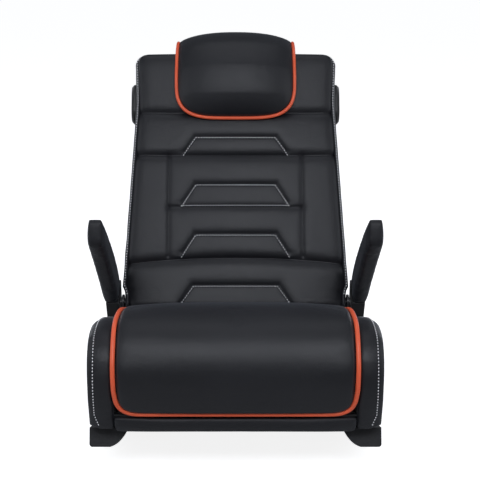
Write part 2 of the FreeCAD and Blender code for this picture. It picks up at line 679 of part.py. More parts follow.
def arms():
    pivot_y, pivot_z = arm_pivot()
    pad = side_prism(ARM_OUTLINE, ARM_RADII, ARM_INNER_X, ARM_INNER_X + ARM_PAD_THICK)
    pad = pad.cut(arm_tongue(SEAT_GAP))
    neck = side_prism(
        [(503.5, 196.0), (526.0, 150.0), (pivot_y - 26, pivot_z - 2), (pivot_y, pivot_z - 27),
         (pivot_y + 26, pivot_z - 2), (576.0, 170.0), (572.0, 229.0)],
        [2, 40, 18, 26, 18, 40, 2], ARM_INNER_X, ARM_INNER_X + ARM_NECK_THICK)
    core = neck.fuse(arm_tongue(0.0))
    sleeve_space = side_prism(ARM_OUTLINE, ARM_RADII, ARM_INNER_X - 1, ARM_INNER_X + 60)
    core = core.cut(sleeve_space.cut(arm_tongue(0.0)))
    core = core.cut(rod(ARM_BOLT_R + RUN_GAP, 200, 310, pivot_y, pivot_z))
    slot_r = ARM_STOP_PIN_R + 2 * RUN_GAP
    depth = ARM_SLOT_DEPTH
    ring = rod(ARM_STOP_R + slot_r, ARM_INNER_X - 1, ARM_INNER_X + depth, pivot_y, pivot_z)
    ring = ring.cut(rod(ARM_STOP_R - slot_r, ARM_INNER_X - 2, ARM_INNER_X + depth + 1, pivot_y, pivot_z))
    wedge = [(pivot_y, pivot_z)]
    for turn in (ARM_STOP_PIN_DEG, ARM_STOP_PIN_DEG - ARM_SWING_DEG / 2, ARM_STOP_PIN_DEG - ARM_SWING_DEG):
        y, z = arm_stop_point(turn)
        wedge.append((pivot_y + 2 * (y - pivot_y), pivot_z + 2 * (z - pivot_z)))
    slot = ring.common(side_prism(wedge, 0, ARM_INNER_X - 1, ARM_INNER_X + depth))
    ends = [rod(slot_r, ARM_INNER_X - 1, ARM_INNER_X + depth, *arm_stop_point(turn))
            for turn in (ARM_STOP_PIN_DEG, ARM_STOP_PIN_DEG - ARM_SWING_DEG)]
    core = core.cut(slot.fuse(ends))
    for side, shape in both_sides(core):
        keep("arm_core_" + side, shape)
    for side, shape in both_sides(pad):
        keep("arm_pad_" + side, shape)
    outer = ARM_INNER_X + ARM_NECK_THICK
    bolt = rod(ARM_BOLT_R, SEAT_HOOP_X - 19.0, outer + 1.0, pivot_y, pivot_z)
    bolt = bolt.fuse(rod(12.0, outer + RUN_GAP, outer + 4.0, pivot_y, pivot_z))
    bolt = bolt.fuse(rod(9.0, SEAT_HOOP_X - 19.0, SEAT_HOOP_X - TUBE_R - SEAT_GAP, pivot_y, pivot_z))
    for side, shape in both_sides(bolt):
        keep("arm_bolt_" + side, shape)


# Backrest, built upright with the hinge axis at the origin and the sitter towards -Y

def back_half_w(z):
    if z < BACK_EAR_Z:
        return BACK_HALF_W_LOW
    if z < BACK_HIP_Z:
        share = (z - BACK_EAR_Z) / (BACK_HIP_Z - BACK_EAR_Z)
        return BACK_HALF_W_LOW + (BACK_HALF_W_HIP - BACK_HALF_W_LOW) * share
    if z < BACK_WAIST_Z:
        share = (z - BACK_HIP_Z) / (BACK_WAIST_Z - BACK_HIP_Z)
        return BACK_HALF_W_HIP + (BACK_HALF_W_WAIST - BACK_HALF_W_HIP) * share
    corner_z = BACK_LENGTH - BACK_TOP_CORNER_R
    if z < corner_z:
        share = (z - BACK_WAIST_Z) / (corner_z - BACK_WAIST_Z)
        return BACK_HALF_W_WAIST + (BACK_HALF_W_TOP - BACK_HALF_W_WAIST) * share
    return BACK_HALF_W_TOP - BACK_TOP_CORNER_R + math.sqrt(BACK_TOP_CORNER_R ** 2 - (z - corner_z) ** 2)


def back_outline(inset):
    """Corner points and radii of the backrest's front view, moved inwards by an inset."""
    corner = BACK_TOP_CORNER_R - inset
    right = [(back_half_w(z) - inset, z) for z in (-PANEL_SHELL_DROP, BACK_EAR_Z, BACK_HIP_Z, BACK_WAIST_Z)]
    right.append((BACK_HALF_W_TOP - inset, BACK_LENGTH - inset))
    left = [(-x, z) for x, z in reversed(right)]
    return right + left, [0, 0, 0, 0, corner, corner, 0, 0, 0, 0]


def sewn_panel(outline, radii, border_r=PANEL_BORDER):
    """A crowned panel: its front-view outline filled up to a wide arc, with its border drawn in."""
    half = PANEL_CROWN_HALF_W
    edge_y = -(HINGE_ROLL_R - PANEL_CROWN + 2.0)
    low = min(z for x, z in outline)
    high = max(z for x, z in outline)
    arc = Part.Wire([
        Part.Arc(V(-half, edge_y, low), V(0, -HINGE_ROLL_R, low), V(half, edge_y, low)).toShape(),
        Part.LineSegment(V(half, edge_y, low), V(half, PANEL_REAR, low)).toShape(),
        Part.LineSegment(V(half, PANEL_REAR, low), V(-half, PANEL_REAR, low)).toShape(),
        Part.LineSegment(V(-half, PANEL_REAR, low), V(-half, edge_y, low)).toShape(),
    ])
    body = Part.Face(arc).extrude(V(0, 0, high - low))
    body = body.common(front_prism(outline, radii, -60, 60))
    border = [e for e in body.Edges if e.CenterOfMass.y < edge_y + 0.5]
    return body.makeChamfer(border_r, border)


def trapeze_groove(z_low, height=TRAPEZE_HEIGHT, top_half=TRAPEZE_TOP_HALF_W):
    """The sewn channel that frames a trapezoid standing on a seam."""
    low, high = z_low - 1, z_low + height

    def prism(inset):
        low_half, high_half = TRAPEZE_LOW_HALF_W - inset, top_half - inset
        points = [(-low_half, low), (low_half, low), (high_half, high - inset), (-high_half, high - inset)]
        return front_prism(points, [0, 0, 6, 6], -60, -(HINGE_ROLL_R - GROOVE_DEPTH - 2))
    return prism(0.0).cut(prism(GROOVE_W))


def back_panels():
    half = SEAM_GAP / 2
    inset = 1.0

    def band(low, high):
        """Corner points of a full-width band between two seams."""
        straight_top = BACK_LENGTH - BACK_TOP_CORNER_R
        right = [(back_half_w(min(z, straight_top)) - inset, z) for z in (low + half, high - half)]
        return [(-x, z) for x, z in reversed(right)] + right

    top = band(SEAM_TOP_Z, BACK_LENGTH)
    radii = [BACK_TOP_CORNER_R] + [0] * (len(top) - 2) + [BACK_TOP_CORNER_R]
    keep("top_band", recline(sewn_panel(top, radii)))
    shoulder = band(SEAM_SHOULDER_Z, SEAM_TOP_Z)
    groove = trapeze_groove(SEAM_SHOULDER_Z, SHOULDER_TRAPEZE_HEIGHT)
    keep("shoulder_panel", recline(sewn_panel(shoulder, 0).cut(groove)))
    for name, low, high in (("centre_upper_panel", SEAM_MIDDLE_Z, SEAM_SHOULDER_Z),
                            ("centre_lower_panel", SEAM_LUMBAR_Z, SEAM_MIDDLE_Z)):
        x = SEAM_SIDE_X - half
        panel = sewn_panel([(-x, low + half), (x, low + half), (x, high - half), (-x, high - half)], 0)
        keep(name, recline(panel.cut(trapeze_groove(low))))
    x = SEAM_SIDE_X + half
    wing = [(x, SEAM_LUMBAR_Z + half), (back_half_w(SEAM_LUMBAR_Z) - inset, SEAM_LUMBAR_Z + half),
            (back_half_w(SEAM_SHOULDER_Z) - inset, SEAM_SHOULDER_Z - half), (x, SEAM_SHOULDER_Z - half)]
    for side, shape in both_sides(sewn_panel(wing, 0)):
        keep("wing_panel_" + side, recline(shape))
    lumbar_panel()


def lumbar_panel():
    """Lowest panel, rolled under round the hinge tube."""
    r, high = HINGE_ROLL_R, SEAM_LUMBAR_Z - SEAM_GAP / 2
    inset = 1.0
    x = -(BACK_HALF_W_HIP - inset)
    edge_y = -(r - PANEL_CROWN)
    low_z = -math.sqrt(r ** 2 - PANEL_REAR ** 2)
    turn = r * math.sqrt(0.5)
    wire = Part.Wire([
        Part.LineSegment(V(x, PANEL_REAR, high), V(x, edge_y, high)).toShape(),
        Part.Arc(V(x, edge_y, high), V(x, edge_y - 6.5, 0.72 * high), V(x, -r, 0.25 * high)).toShape(),
        Part.LineSegment(V(x, -r, 0.25 * high), V(x, -r, 0)).toShape(),
        Part.Arc(V(x, -r, 0), V(x, -turn, -turn), V(x, PANEL_REAR, low_z)).toShape(),
        Part.LineSegment(V(x, PANEL_REAR, low_z), V(x, PANEL_REAR, high)).toShape(),
    ])
    panel = Part.Face(wire).extrude(V(-2 * x, 0, 0))
    right = [(back_half_w(z) - inset, z) for z in (-2 * r, BACK_EAR_Z, BACK_HIP_Z, high)]
    outline = right + [(-x_side, z) for x_side, z in reversed(right)]
    panel = panel.common(front_prism(outline, 0, -60, 60))
    room = TUBE_R + SEAT_GAP
    panel = panel.cut(rod(room, x - 1, 1 - x, 0, 0))
    for side in (-1, 1):
        middle = side * BACK_TUBE_X
        panel = panel.cut(block(middle - room, middle + room, 0, PANEL_REAR + 1, -room, room))
    panel = panel.cut(trapeze_groove(LUMBAR_TRAPEZE_Z, LUMBAR_TRAPEZE_HEIGHT, LUMBAR_TRAPEZE_TOP_HALF_W))
    keep("lumbar_panel", recline(panel))


def back_frame():
    top_z = BACK_LENGTH - 45.0
    x, y = BACK_TUBE_X, BACK_TUBE_Y
    points = [V(-x, 0, 0), V(-x, y, 0), V(-x, y, top_z), V(x, y, top_z), V(x, y, 0), V(x, 0, 0)]
    loop = tube(bent_path(points, TUBE_BEND_R), TUBE_R)
    half = BACK_HALF_W_LOW - 1.5
    hinge_tube = rod(TUBE_R, -half, half, 0, 0)
    bars = []
    for z in BACK_BAR_Z:
        bar = cross_bar(8.0, x - 0.5 * TUBE_R, y, z)
        bars.append(bar)
    frame = recline(hinge_tube.fuse([loop] + bars))
    stop_z = hoop_z(STOP_TUBE_Y)
    face_y = STOP_TUBE_Y + CROSS_TUBE_R + RUN_GAP
    lug_outline = [(HINGE_Y + 2, HINGE_Z - 3), (HINGE_Y + 32, HINGE_Z - 20), (face_y + 17, stop_z - 9),
                   (face_y, stop_z - 12), (face_y, stop_z + 22), (HINGE_Y + 5, HINGE_Z - 22)]
    lug_radii = [0, 4, 4, 4, 12, 0]
    for side in (-1, 1):
        middle = side * BACK_TUBE_X
        frame = frame.fuse(side_prism(lug_outline, lug_radii, middle - LUG_THICK / 2, middle + LUG_THICK / 2))
    bore = rod(PIVOT_BOLT_R + RUN_GAP, half - PIVOT_BOLT_DEPTH - 1, 300, HINGE_Y, HINGE_Z)
    frame = frame.cut(bore).cut(mirrored(bore))
    keep("back_frame", frame)
    ear_outer = SEAT_HOOP_X + TUBE_R - EAR_BITE + EAR_THICK
    bolt = rod(PIVOT_BOLT_R, half - PIVOT_BOLT_DEPTH, ear_outer + 1, HINGE_Y, HINGE_Z)
    bolt = bolt.fuse(rod(PIVOT_HEAD_R, ear_outer + RUN_GAP, ear_outer + PIVOT_HEAD_H, HINGE_Y, HINGE_Z))
    for side, shape in both_sides(bolt):
        keep("hinge_bolt_" + side, shape)


def back_inside():
    rear = BACK_TUBE_Y - TUBE_R - SEAT_GAP
    straps = []
    for z in (110.0, 190.0, 310.0, 390.0):
        strap = block(-BACK_TUBE_X, BACK_TUBE_X, rear - STRAP_THICK, rear, z - STRAP_W / 2, z + STRAP_W / 2)
        straps.append(recline(strap))
    keep("back_webbing", straps)
    foam_rear = rear - STRAP_THICK - SEAT_GAP
    inset = COVER_WALL + 4.0
    points, radii = back_outline(inset)
    foam = front_prism(points, radii, PANEL_REAR + SEAM_GAP, foam_rear)
    foam = foam.cut(block(-300, 300, -50, 100, -60, TUBE_R + 3))
    driver_space = rod(UPPER_DRIVER_R + 1.0, -300, 300, UPPER_SPEAKER_Y, UPPER_SPEAKER_Z)
    foam = foam.cut(driver_space.cut(rod(60, -195, 195, UPPER_SPEAKER_Y, UPPER_SPEAKER_Z)))
    keep("back_foam", recline(foam))


def back_cover():
    """Rear shell of the backrest: side walls, top and a rounded rear face with the bass opening."""
    points, radii = back_outline(0.0)
    outer = front_prism(points, radii, PANEL_REAR + SEAM_GAP, BACK_REAR)
    foot_z = -PANEL_SHELL_DROP + 0.1
    outer = round_edges(outer, COVER_EDGE_R, lambda p: p.y > BACK_REAR - 0.1 and p.z > foot_z)
    points, radii = back_outline(COVER_WALL)
    inner = front_prism(points, radii, 0, BACK_REAR - COVER_WALL)
    shrink = COVER_EDGE_R - COVER_WALL
    rear_in = BACK_REAR - COVER_WALL
    inner = round_edges(inner, shrink, lambda p: p.y > rear_in - 0.1 and p.z > foot_z)
    lowered = inner.copy()
    lowered.translate(V(0, 0, -2 * COVER_WALL))
    shell = outer.cut(inner.fuse(lowered))
    shell = shell.cut(rod(TUBE_R + SEAT_GAP, -300, 300, 0, 0))
    shell = shell.cut(Part.makeCylinder(WOOFER_R + SEAT_GAP, 40, V(0, BACK_REAR - 20, WOOFER_Z), V(0, 1, 0)))
    shell = shell.cut(rod(UPPER_DRIVER_R + SEAM_GAP, -300, 300, UPPER_SPEAKER_Y, UPPER_SPEAKER_Z))
    keep("back_cover", recline(shell))


# Headrest pillow

def headrest():
    rear_y, seat_z = -HINGE_ROLL_R - SEAT_GAP, BACK_LENGTH + SEAT_GAP
    sections = []
    for share in (-1.0, -0.94, -0.8, -0.45, 0.0, 0.45, 0.8, 0.94, 1.0):
        x = share * PILLOW_HALF_W
        fullness = 0.40 + 0.60 * math.sqrt(1 - abs(share) ** 3.2)
        front = rear_y - (PILLOW_FRONT + rear_y) * fullness
        top = seat_z + (PILLOW_TOP_Z - seat_z) * (0.35 + 0.65 * fullness)
        bottom = PILLOW_BOTTOM_Z + 22.0 * (1 - fullness)
        middle = bottom + 0.45 * (top - bottom)
        foot, nose, crown = V(x, rear_y, bottom), V(x, front, middle), V(x, -4.0, top)
        heel, corner = V(x, 8.0 + 14.0 * fullness, seat_z), V(x, rear_y, seat_z)
        low_mid = V(x, rear_y + 0.80 * (front - rear_y), bottom + 0.22 * (middle - bottom))
        high_mid = V(x, -4.0 + 0.78 * (front + 4.0), middle + 0.66 * (top - middle))
        back_mid = V(x, 3.0 + 14.0 * fullness, seat_z + 0.62 * (top - seat_z))
        sections.append(Part.Wire([
            Part.Arc(foot, low_mid, nose).toShape(),
            Part.Arc(nose, high_mid, crown).toShape(),
            Part.Arc(crown, back_mid, heel).toShape(),
            Part.LineSegment(heel, corner).toShape(),
            Part.LineSegment(corner, foot).toShape(),
        ]))
    keep("headrest_pillow", recline(Part.makeLoft(sections, True, True)))
    x = PILLOW_HALF_W + PILLOW_WELT_R + SEAT_GAP
    low_z = PILLOW_BOTTOM_Z - PILLOW_WELT_R - SEAT_GAP
    side = [(-16.0, BACK_LENGTH + 29.0), (-37.0, 590.0), (-47.0, 540.0), (-46.0, 480.0), (-40.0, low_z)]
    left = [V(-x, y, z) for y, z in side] + [V(-0.4 * x, rear_y - 9.0, low_z - 1.0)]
    right = [V(-p.x, p.y, p.z) for p in reversed(left)]
    keep("headrest_piping", recline(tube(bent_path(left + right), PILLOW_WELT_R)))


# Sound

def pod_outline(y, z, width, height):
    return [(y - width / 2, z - height / 2), (y + width / 2, z - height / 2), (y + width / 2, z + height / 2),
            (y - width / 2, z + height / 2)]


def speaker_pod(x_seat, y, z, width, height, proud):
    """Moulded surround with a slotted grille, standing proud of a side wall."""
    corner = width / 2 - 3
    body = side_prism(pod_outline(y, z, width, height), corner, x_seat, x_seat + proud)
    rim = [e for e in body.Edges if e.CenterOfMass.x > x_seat + proud - 0.1]
    body = body.makeChamfer(proud * 0.5, rim)
    dish = pod_outline(y, z, width - 20, height - 20)
    body = body.cut(side_prism(dish, corner - 10, x_seat + proud - 2.5, x_seat + proud + 1))
    for i in range(-3, 4):
        reach = (height / 2 - 18) * math.sqrt(1 - (i / 4.6) ** 2)
        slot_y = y + i * (width - 24) / 8
        slot = block(x_seat - 1, x_seat + proud + 1, slot_y - 1.5, slot_y + 1.5, z - reach, z + reach)
        body = body.cut(slot)
    return body


def speaker_driver(radius, depth):
    """Cone loudspeaker facing +X, its rim just behind X = 0 and its magnet at the rear."""
    def turned(profile):
        rings = [Part.Wire([Part.makeCircle(r, V(x, 0, 0), X_AXIS)]) for r, x in profile]
        return Part.makeLoft(rings, True, True)
    body = turned([(radius, -2.0), (radius, -5.0), (0.6 * radius, -0.62 * depth), (0.6 * radius, -depth)])
    return body.cut(turned([(0.88 * radius, -1.9), (0.14 * radius, -0.45 * depth)]))


def side_speakers():
    upper_x = back_half_w(UPPER_SPEAKER_Z + 0.4 * UPPER_POD_H) + SEAT_GAP
    pod = speaker_pod(upper_x, UPPER_SPEAKER_Y, UPPER_SPEAKER_Z, UPPER_POD_W, UPPER_POD_H, UPPER_POD_PROUD)
    driver = speaker_driver(UPPER_DRIVER_R, 34.0)
    driver.translate(V(upper_x - SEAT_GAP, UPPER_SPEAKER_Y, UPPER_SPEAKER_Z))
    for side, shape in both_sides(pod):
        keep("upper_grille_" + side, recline(shape))
    for side, shape in both_sides(driver):
        keep("upper_driver_" + side, recline(shape))
    lower_x = SIDE_OUTER_X + SEAT_GAP
    pod = speaker_pod(lower_x, LOWER_SPEAKER_Y, LOWER_SPEAKER_Z, LOWER_POD_W, LOWER_POD_H, LOWER_POD_PROUD)
    driver = speaker_driver(LOWER_DRIVER_R, 30.0)
    driver.translate(V(lower_x - SEAT_GAP, LOWER_SPEAKER_Y, LOWER_SPEAKER_Z))
    for side, shape in both_sides(pod):
        keep("lower_grille_" + side, shape)
    for side, shape in both_sides(driver):
        keep("lower_driver_" + side, shape)


def woofer():
    """Bass loudspeaker in its own box, playing through the rear of the backrest."""
    rear = BACK_REAR - COVER_WALL - SEAT_GAP
    front = BACK_TUBE_Y - 9.0
    box = block(-WOOFER_BOX_HALF_W, WOOFER_BOX_HALF_W, front, rear, WOOFER_Z - WOOFER_BOX_HALF_H,
                WOOFER_Z + WOOFER_BOX_HALF_H)
    wall = 6.0
    room = block(-WOOFER_BOX_HALF_W + wall, WOOFER_BOX_HALF_W - wall, front + wall, rear - wall,
                 WOOFER_Z - WOOFER_BOX_HALF_H + wall, WOOFER_Z + WOOFER_BOX_HALF_H - wall)
    hole_r = WOOFER_R - 5.0
    box = box.cut(room).cut(Part.makeCylinder(hole_r, 40, V(0, rear - 20, WOOFER_Z), V(0, 1, 0)))
    keep("woofer_box", recline(box))
    driver = speaker_driver(hole_r - SEAT_GAP, 40.0)
    driver.rotate(V(0, 0, 0), V(0, 0, 1), 90)
    driver.translate(V(0, rear, WOOFER_Z))
    keep("woofer_driver", recline(driver))
    # Round rear grille with upright slots
    rim_h, plate_h = 6.0, 3.0
    grille = Part.makeCylinder(WOOFER_R, rim_h, V(0, 0, 0), V(0, 1, 0))
    grille = grille.makeChamfer(2.0, [e for e in grille.Edges if e.Closed and e.CenterOfMass.y > rim_h - 0.1])
    grille = grille.cut(Part.makeCylinder(WOOFER_R - 8.0, rim_h, V(0, plate_h, 0), V(0, 1, 0)))
    for i in range(-4, 5):
        reach = 0.80 * WOOFER_R * math.sqrt(1 - (i / 5.2) ** 2)
        slot_x = i * 11.0
        grille = grille.cut(block(slot_x - 2.5, slot_x + 2.5, -1, 30, -reach, reach))
    grille.translate(V(0, rear + SEAT_GAP, WOOFER_Z))
    keep("woofer_grille", recline(grille))


# Controls on the sitter's right

def control_block(x_low, x_high, grow):
    return block(x_low, x_high, CONTROL_Y - CONTROL_HALF_L - grow, CONTROL_Y + CONTROL_HALF_L + grow,
                 CONTROL_Z - CONTROL_HALF_H - grow, CONTROL_Z + CONTROL_HALF_H + grow)


def knob_centres():
    first = CONTROL_Y - CONTROL_HALF_L + 26.0
    return [first + i * KNOB_PITCH for i in range(3)]


def controls():
    """Plate with three knobs, a power button and four sockets, over a housing let into the side wall."""
    face, depth, wall = -SIDE_OUTER_X - SEAT_GAP, SIDE_PANEL_THICK + 5.0, 2.5
    outer = face - FACEPLATE_THICK
    knob_ys = knob_centres()
    button_y = knob_ys[-1] + KNOB_PITCH - 4.0
    jack_ys = [knob_ys[0] - 4.0 + i * JACK_PITCH for i in range(JACK_COUNT)]
    housing = control_block(-SIDE_OUTER_X, -SIDE_OUTER_X + depth, 0.0)
    housing = housing.cut(control_block(-SIDE_OUTER_X - 1, -SIDE_OUTER_X + depth - wall, -wall))
    for y in knob_ys:
        housing = housing.fuse(rod(6.0, -SIDE_OUTER_X + 1.0, -SIDE_OUTER_X + depth - 1.0, y, KNOB_Z))
        housing = housing.cut(rod(KNOB_SHAFT_R + RUN_GAP, -SIDE_OUTER_X - 1, -SIDE_OUTER_X + 14.0, y, KNOB_Z))
    keep("control_housing", housing)
    plate_points = pod_outline(CONTROL_Y, CONTROL_Z, 2 * CONTROL_HALF_L + 14, 2 * CONTROL_HALF_H + 12)
    plate = side_prism(plate_points, 10.0, outer, face)
    holes = [(KNOB_SHAFT_R, y, KNOB_Z) for y in knob_ys] + [(JACK_R, y, JACK_Z) for y in jack_ys]
    for radius, y, z in holes + [(BUTTON_R, button_y, KNOB_Z)]:
        plate = plate.cut(rod(radius + RUN_GAP, face - 10, face + 10, y, z))
    keep("faceplate", plate)
    jacks = []
    for y in jack_ys:
        jack = rod(JACK_R, outer - 1.0, face + 9.0, y, JACK_Z)
        jacks.append(jack.cut(rod(JACK_BORE_R, face - 10, face + 7.0, y, JACK_Z)))
    keep("audio_jacks", jacks)
    for name, y in zip(("volume_knob", "bass_knob", "treble_knob"), knob_ys):
        keep(name, knob(outer, y))
    button = rod(BUTTON_R, outer - 3.5, face + 4.0, button_y, KNOB_Z)
    collar = rod(BUTTON_R + 1.5, face + RUN_GAP, face + 1.5, button_y, KNOB_Z)
    keep("power_button", button.fuse(collar))
    switch_front = face + 4.0 + BUTTON_TRAVEL + RUN_GAP
    switch_rear = -SIDE_OUTER_X + depth - wall - RUN_GAP
    keep("power_switch", rod(BUTTON_R + 2.0, switch_front, switch_rear, button_y, KNOB_Z))


def knob(outer, y):
    """Turning knob with a fluted rim, a raised pointer and its shaft."""
    cap_x = outer - KNOB_H
    body = rod(KNOB_R, cap_x, outer - 0.5, y, KNOB_Z)
    body = body.makeChamfer(1.5, [e for e in body.Edges if e.Closed and e.CenterOfMass.x < cap_x + 0.1])
    for i in range(KNOB_FLUTES):
        turn = 2 * math.pi * (i + 0.5) / KNOB_FLUTES
        at = (y + KNOB_R * math.cos(turn), KNOB_Z + KNOB_R * math.sin(turn))
        body = body.cut(rod(1.4, cap_x - 1, outer - 3.0, *at))
    pointer = block(cap_x - 0.6, cap_x + 1, y - 1.0, y + 1.0, KNOB_Z + 3.0, KNOB_Z + KNOB_R - 2.6)
    return body.fuse([pointer, rod(KNOB_SHAFT_R, outer - 2.0, -SIDE_OUTER_X + 13.0, y, KNOB_Z)])


def amplifier():
    """Amplifier on the bottom board: a closed box with cooling fins."""
    y, half_y, half_x = 430.0, 45.0, 70.0
    low = FLARE_HEIGHT + PAN_THICK + 2 * SEAT_GAP
    body = block(-half_x, half_x, y - half_y, y + half_y, low, low + 26.0)
    body = body.makeFillet(3.0, [e for e in body.Edges if abs(e.tangentAt(e.FirstParameter).z) > 0.9])
    for i in range(7):
        x = -half_x + 14.0 + i * 20.0
        body = body.fuse(block(x - 1.5, x + 1.5, y - half_y + 6, y + half_y - 6, low + 25.0, low + 38.0))
    keep("amplifier", body)


def main():
    seat_pad()
    seat_welt()
    bolsters()
    rocker_rails()
    base_pan()
    rail_screws()
    seat_frame()
    seat_webbing()
    side_panels()
    front_skirt()
    rear_board()
    arms()
    back_frame()
    back_inside()
    back_panels()
    back_cover()
    headrest()
    side_speakers()
    woofer()
    controls()
    amplifier()
    boxes = [shape.optimalBoundingBox(False) for shape in parts.values()]
    middle_y = (min(b.YMin for b in boxes) + max(b.YMax for b in boxes)) / 2
    floor_z = min(b.ZMin for b in boxes)
    print("moved by", round(-middle_y, 3), round(-floor_z, 3))
    os.makedirs("parts", exist_ok=True)
    for name, shape in parts.items():
        shape = shape.copy()
        shape.translate(V(0, -middle_y, -floor_z))
        state = "valid" if shape.isValid() else "NOT VALID"
        print(name, state, len(shape.Solids), round(shape.Volume / 1000, 1))
        shape.exportStep(os.path.join("parts", name + ".step"))


main()
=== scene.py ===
import json
import math

import bmesh
import bpy
import numpy as np
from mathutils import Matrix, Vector
from mathutils.bvhtree import BVHTree


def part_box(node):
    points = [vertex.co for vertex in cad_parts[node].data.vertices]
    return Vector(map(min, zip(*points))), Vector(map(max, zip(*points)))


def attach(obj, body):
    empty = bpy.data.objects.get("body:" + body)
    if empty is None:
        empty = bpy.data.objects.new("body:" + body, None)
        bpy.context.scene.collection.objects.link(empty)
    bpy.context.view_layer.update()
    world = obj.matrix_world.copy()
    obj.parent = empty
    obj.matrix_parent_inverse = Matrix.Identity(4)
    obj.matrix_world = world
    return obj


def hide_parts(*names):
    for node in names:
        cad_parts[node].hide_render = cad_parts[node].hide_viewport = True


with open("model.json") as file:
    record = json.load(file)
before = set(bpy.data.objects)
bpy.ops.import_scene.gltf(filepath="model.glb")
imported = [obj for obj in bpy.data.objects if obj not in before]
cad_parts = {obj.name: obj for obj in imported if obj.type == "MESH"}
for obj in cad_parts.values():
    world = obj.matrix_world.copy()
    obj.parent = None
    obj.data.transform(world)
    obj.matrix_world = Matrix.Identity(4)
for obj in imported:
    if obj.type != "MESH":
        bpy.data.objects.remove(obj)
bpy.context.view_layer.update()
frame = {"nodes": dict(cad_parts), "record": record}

# The view: a long lens in front of the chair and above it, tipped down at it.
# One wide softbox stands high in front, a weaker one hangs over the chair, and small ones light the sides and
# the rear. The studio floor is white to the camera and grey to the light that it throws back.
CAMERA_PLACE = (0.0, -2.4975, 1.183)
CAMERA_TILT = math.radians(72.0)
CAMERA_LENS = 90.0
CAMERA_SHIFT_X = 0.0094
SOFTBOXES = (
    # name, place, point aimed at, width, depth, watts
    ("front", (0.0, -1.75, 1.80), (0.0, 0.0, 0.35), 2.2, 0.75, 26.0),
    ("top", (0.0, 0.2, 2.4), (0.0, 0.0, 0.3), 2.0, 1.0, 7.0),
    ("left", (-2.2, -0.4, 1.1), (0.0, 0.0, 0.3), 0.8, 1.5, 8.0),
    ("right", (2.2, -0.4, 1.1), (0.0, 0.0, 0.3), 0.8, 1.5, 8.0),
    ("rear_left", (-1.9, 2.1, 0.8), (0.0, 0.2, 0.35), 0.9, 1.2, 9.0),
    ("rear_right", (1.9, 2.1, 0.8), (0.0, 0.2, 0.35), 0.9, 1.2, 9.0),
)
LAMP_TINT = (0.90, 0.93, 1.0)
WORLD_FILL = (0.86, 0.91, 1.0, 1.0)
WORLD_STRENGTH = 0.16
FLOOR_HALF = 16.0
FLOOR_WHITE = (0.86, 0.86, 0.86)
FLOOR_BOUNCE = (0.55, 0.55, 0.55)
FLOOR_GLOW = 0.86


def add(tree, kind, settings=None, **sockets):
    """Adds a node to a tree. Sockets take values or outputs of other nodes, by name or by number (i0, i1)."""
    made = tree.nodes.new(kind)
    for key, value in (settings or {}).items():
        setattr(made, key, value)
    for key, value in sockets.items():
        by_number = key[0] == "i" and key[1:].isdigit()
        socket = made.inputs[int(key[1:]) if by_number else key.replace("_", " ")]
        if isinstance(value, bpy.types.NodeSocket):
            tree.links.new(value, socket)
        else:
            socket.default_value = value
    return made


def multiplied(tree, one, other):
    return add(tree, "ShaderNodeMath", {"operation": "MULTIPLY"}, i0=one, i1=other).outputs[0]


def blended(tree, share, low, high):
    """A colour between two, by a share."""
    return add(tree, "ShaderNodeMix", {"data_type": "RGBA"}, i0=share, i6=(*low, 1.0),
               i7=(*high, 1.0)).outputs["Result"]


def linked(name, data):
    """Puts data into the scene as an object."""
    holder = bpy.data.objects.new(name, data)
    bpy.context.scene.collection.objects.link(holder)
    return holder


def empty_material(name):
    material = bpy.data.materials.new(name)
    material.use_nodes = True
    material.node_tree.nodes.clear()
    return material, material.node_tree


def studio():
    world = bpy.data.worlds.new("studio")
    world.use_nodes = True
    tree = world.node_tree
    tree.nodes.clear()
    path = add(tree, "ShaderNodeLightPath")
    seen = add(tree, "ShaderNodeMath", {"operation": "MAXIMUM"}, i0=path.outputs["Is Camera Ray"],
               i1=path.outputs["Is Transmission Ray"])
    fill = add(tree, "ShaderNodeBackground", Color=WORLD_FILL, Strength=WORLD_STRENGTH)
    white = add(tree, "ShaderNodeBackground", Color=(1.0, 1.0, 1.0, 1.0), Strength=1.0)
    both = add(tree, "ShaderNodeMixShader", Fac=seen.outputs[0], i1=fill.outputs[0], i2=white.outputs[0])
    add(tree, "ShaderNodeOutputWorld", Surface=both.outputs[0])
    bpy.context.scene.world = world
    for name, place, aim, width, depth, watts in SOFTBOXES:
        lamp = bpy.data.lights.new("softbox_" + name, "AREA")
        lamp.shape = "RECTANGLE"
        lamp.size, lamp.size_y = width, depth
        lamp.energy = watts
        lamp.color = LAMP_TINT
        holder = linked("softbox_" + name, lamp)
        holder.location = place
        holder.rotation_euler = (Vector(aim) - Vector(place)).to_track_quat("-Z", "Y").to_euler()


def camera():
    data = bpy.data.cameras.new("camera")
    data.lens = CAMERA_LENS
    data.shift_x = CAMERA_SHIFT_X
    data.clip_end = 100.0
    holder = linked("camera", data)
    holder.location = CAMERA_PLACE
    holder.rotation_euler = (CAMERA_TILT, 0.0, 0.0)
    bpy.context.scene.camera = holder


def white_floor():
    material, tree = empty_material("studio_floor")
    by_camera = add(tree, "ShaderNodeLightPath").outputs["Is Camera Ray"]
    paper = add(tree, "ShaderNodeBsdfDiffuse", Color=blended(tree, by_camera, FLOOR_BOUNCE, FLOOR_WHITE))
    glow = add(tree, "ShaderNodeEmission", Color=(1.0, 1.0, 1.0, 1.0),
               Strength=multiplied(tree, by_camera, FLOOR_GLOW))
    both = add(tree, "ShaderNodeAddShader", i0=paper.outputs[0], i1=glow.outputs[0])
    add(tree, "ShaderNodeOutputMaterial", Surface=both.outputs[0])
    mesh = bpy.data.meshes.new("studio_floor")
    h = FLOOR_HALF
    mesh.from_pydata([(-h, -h, 0), (h, -h, 0), (h, h, 0), (-h, h, 0)], [], [(0, 1, 2, 3)])
    mesh.materials.append(material)
    linked("studio_floor", mesh)


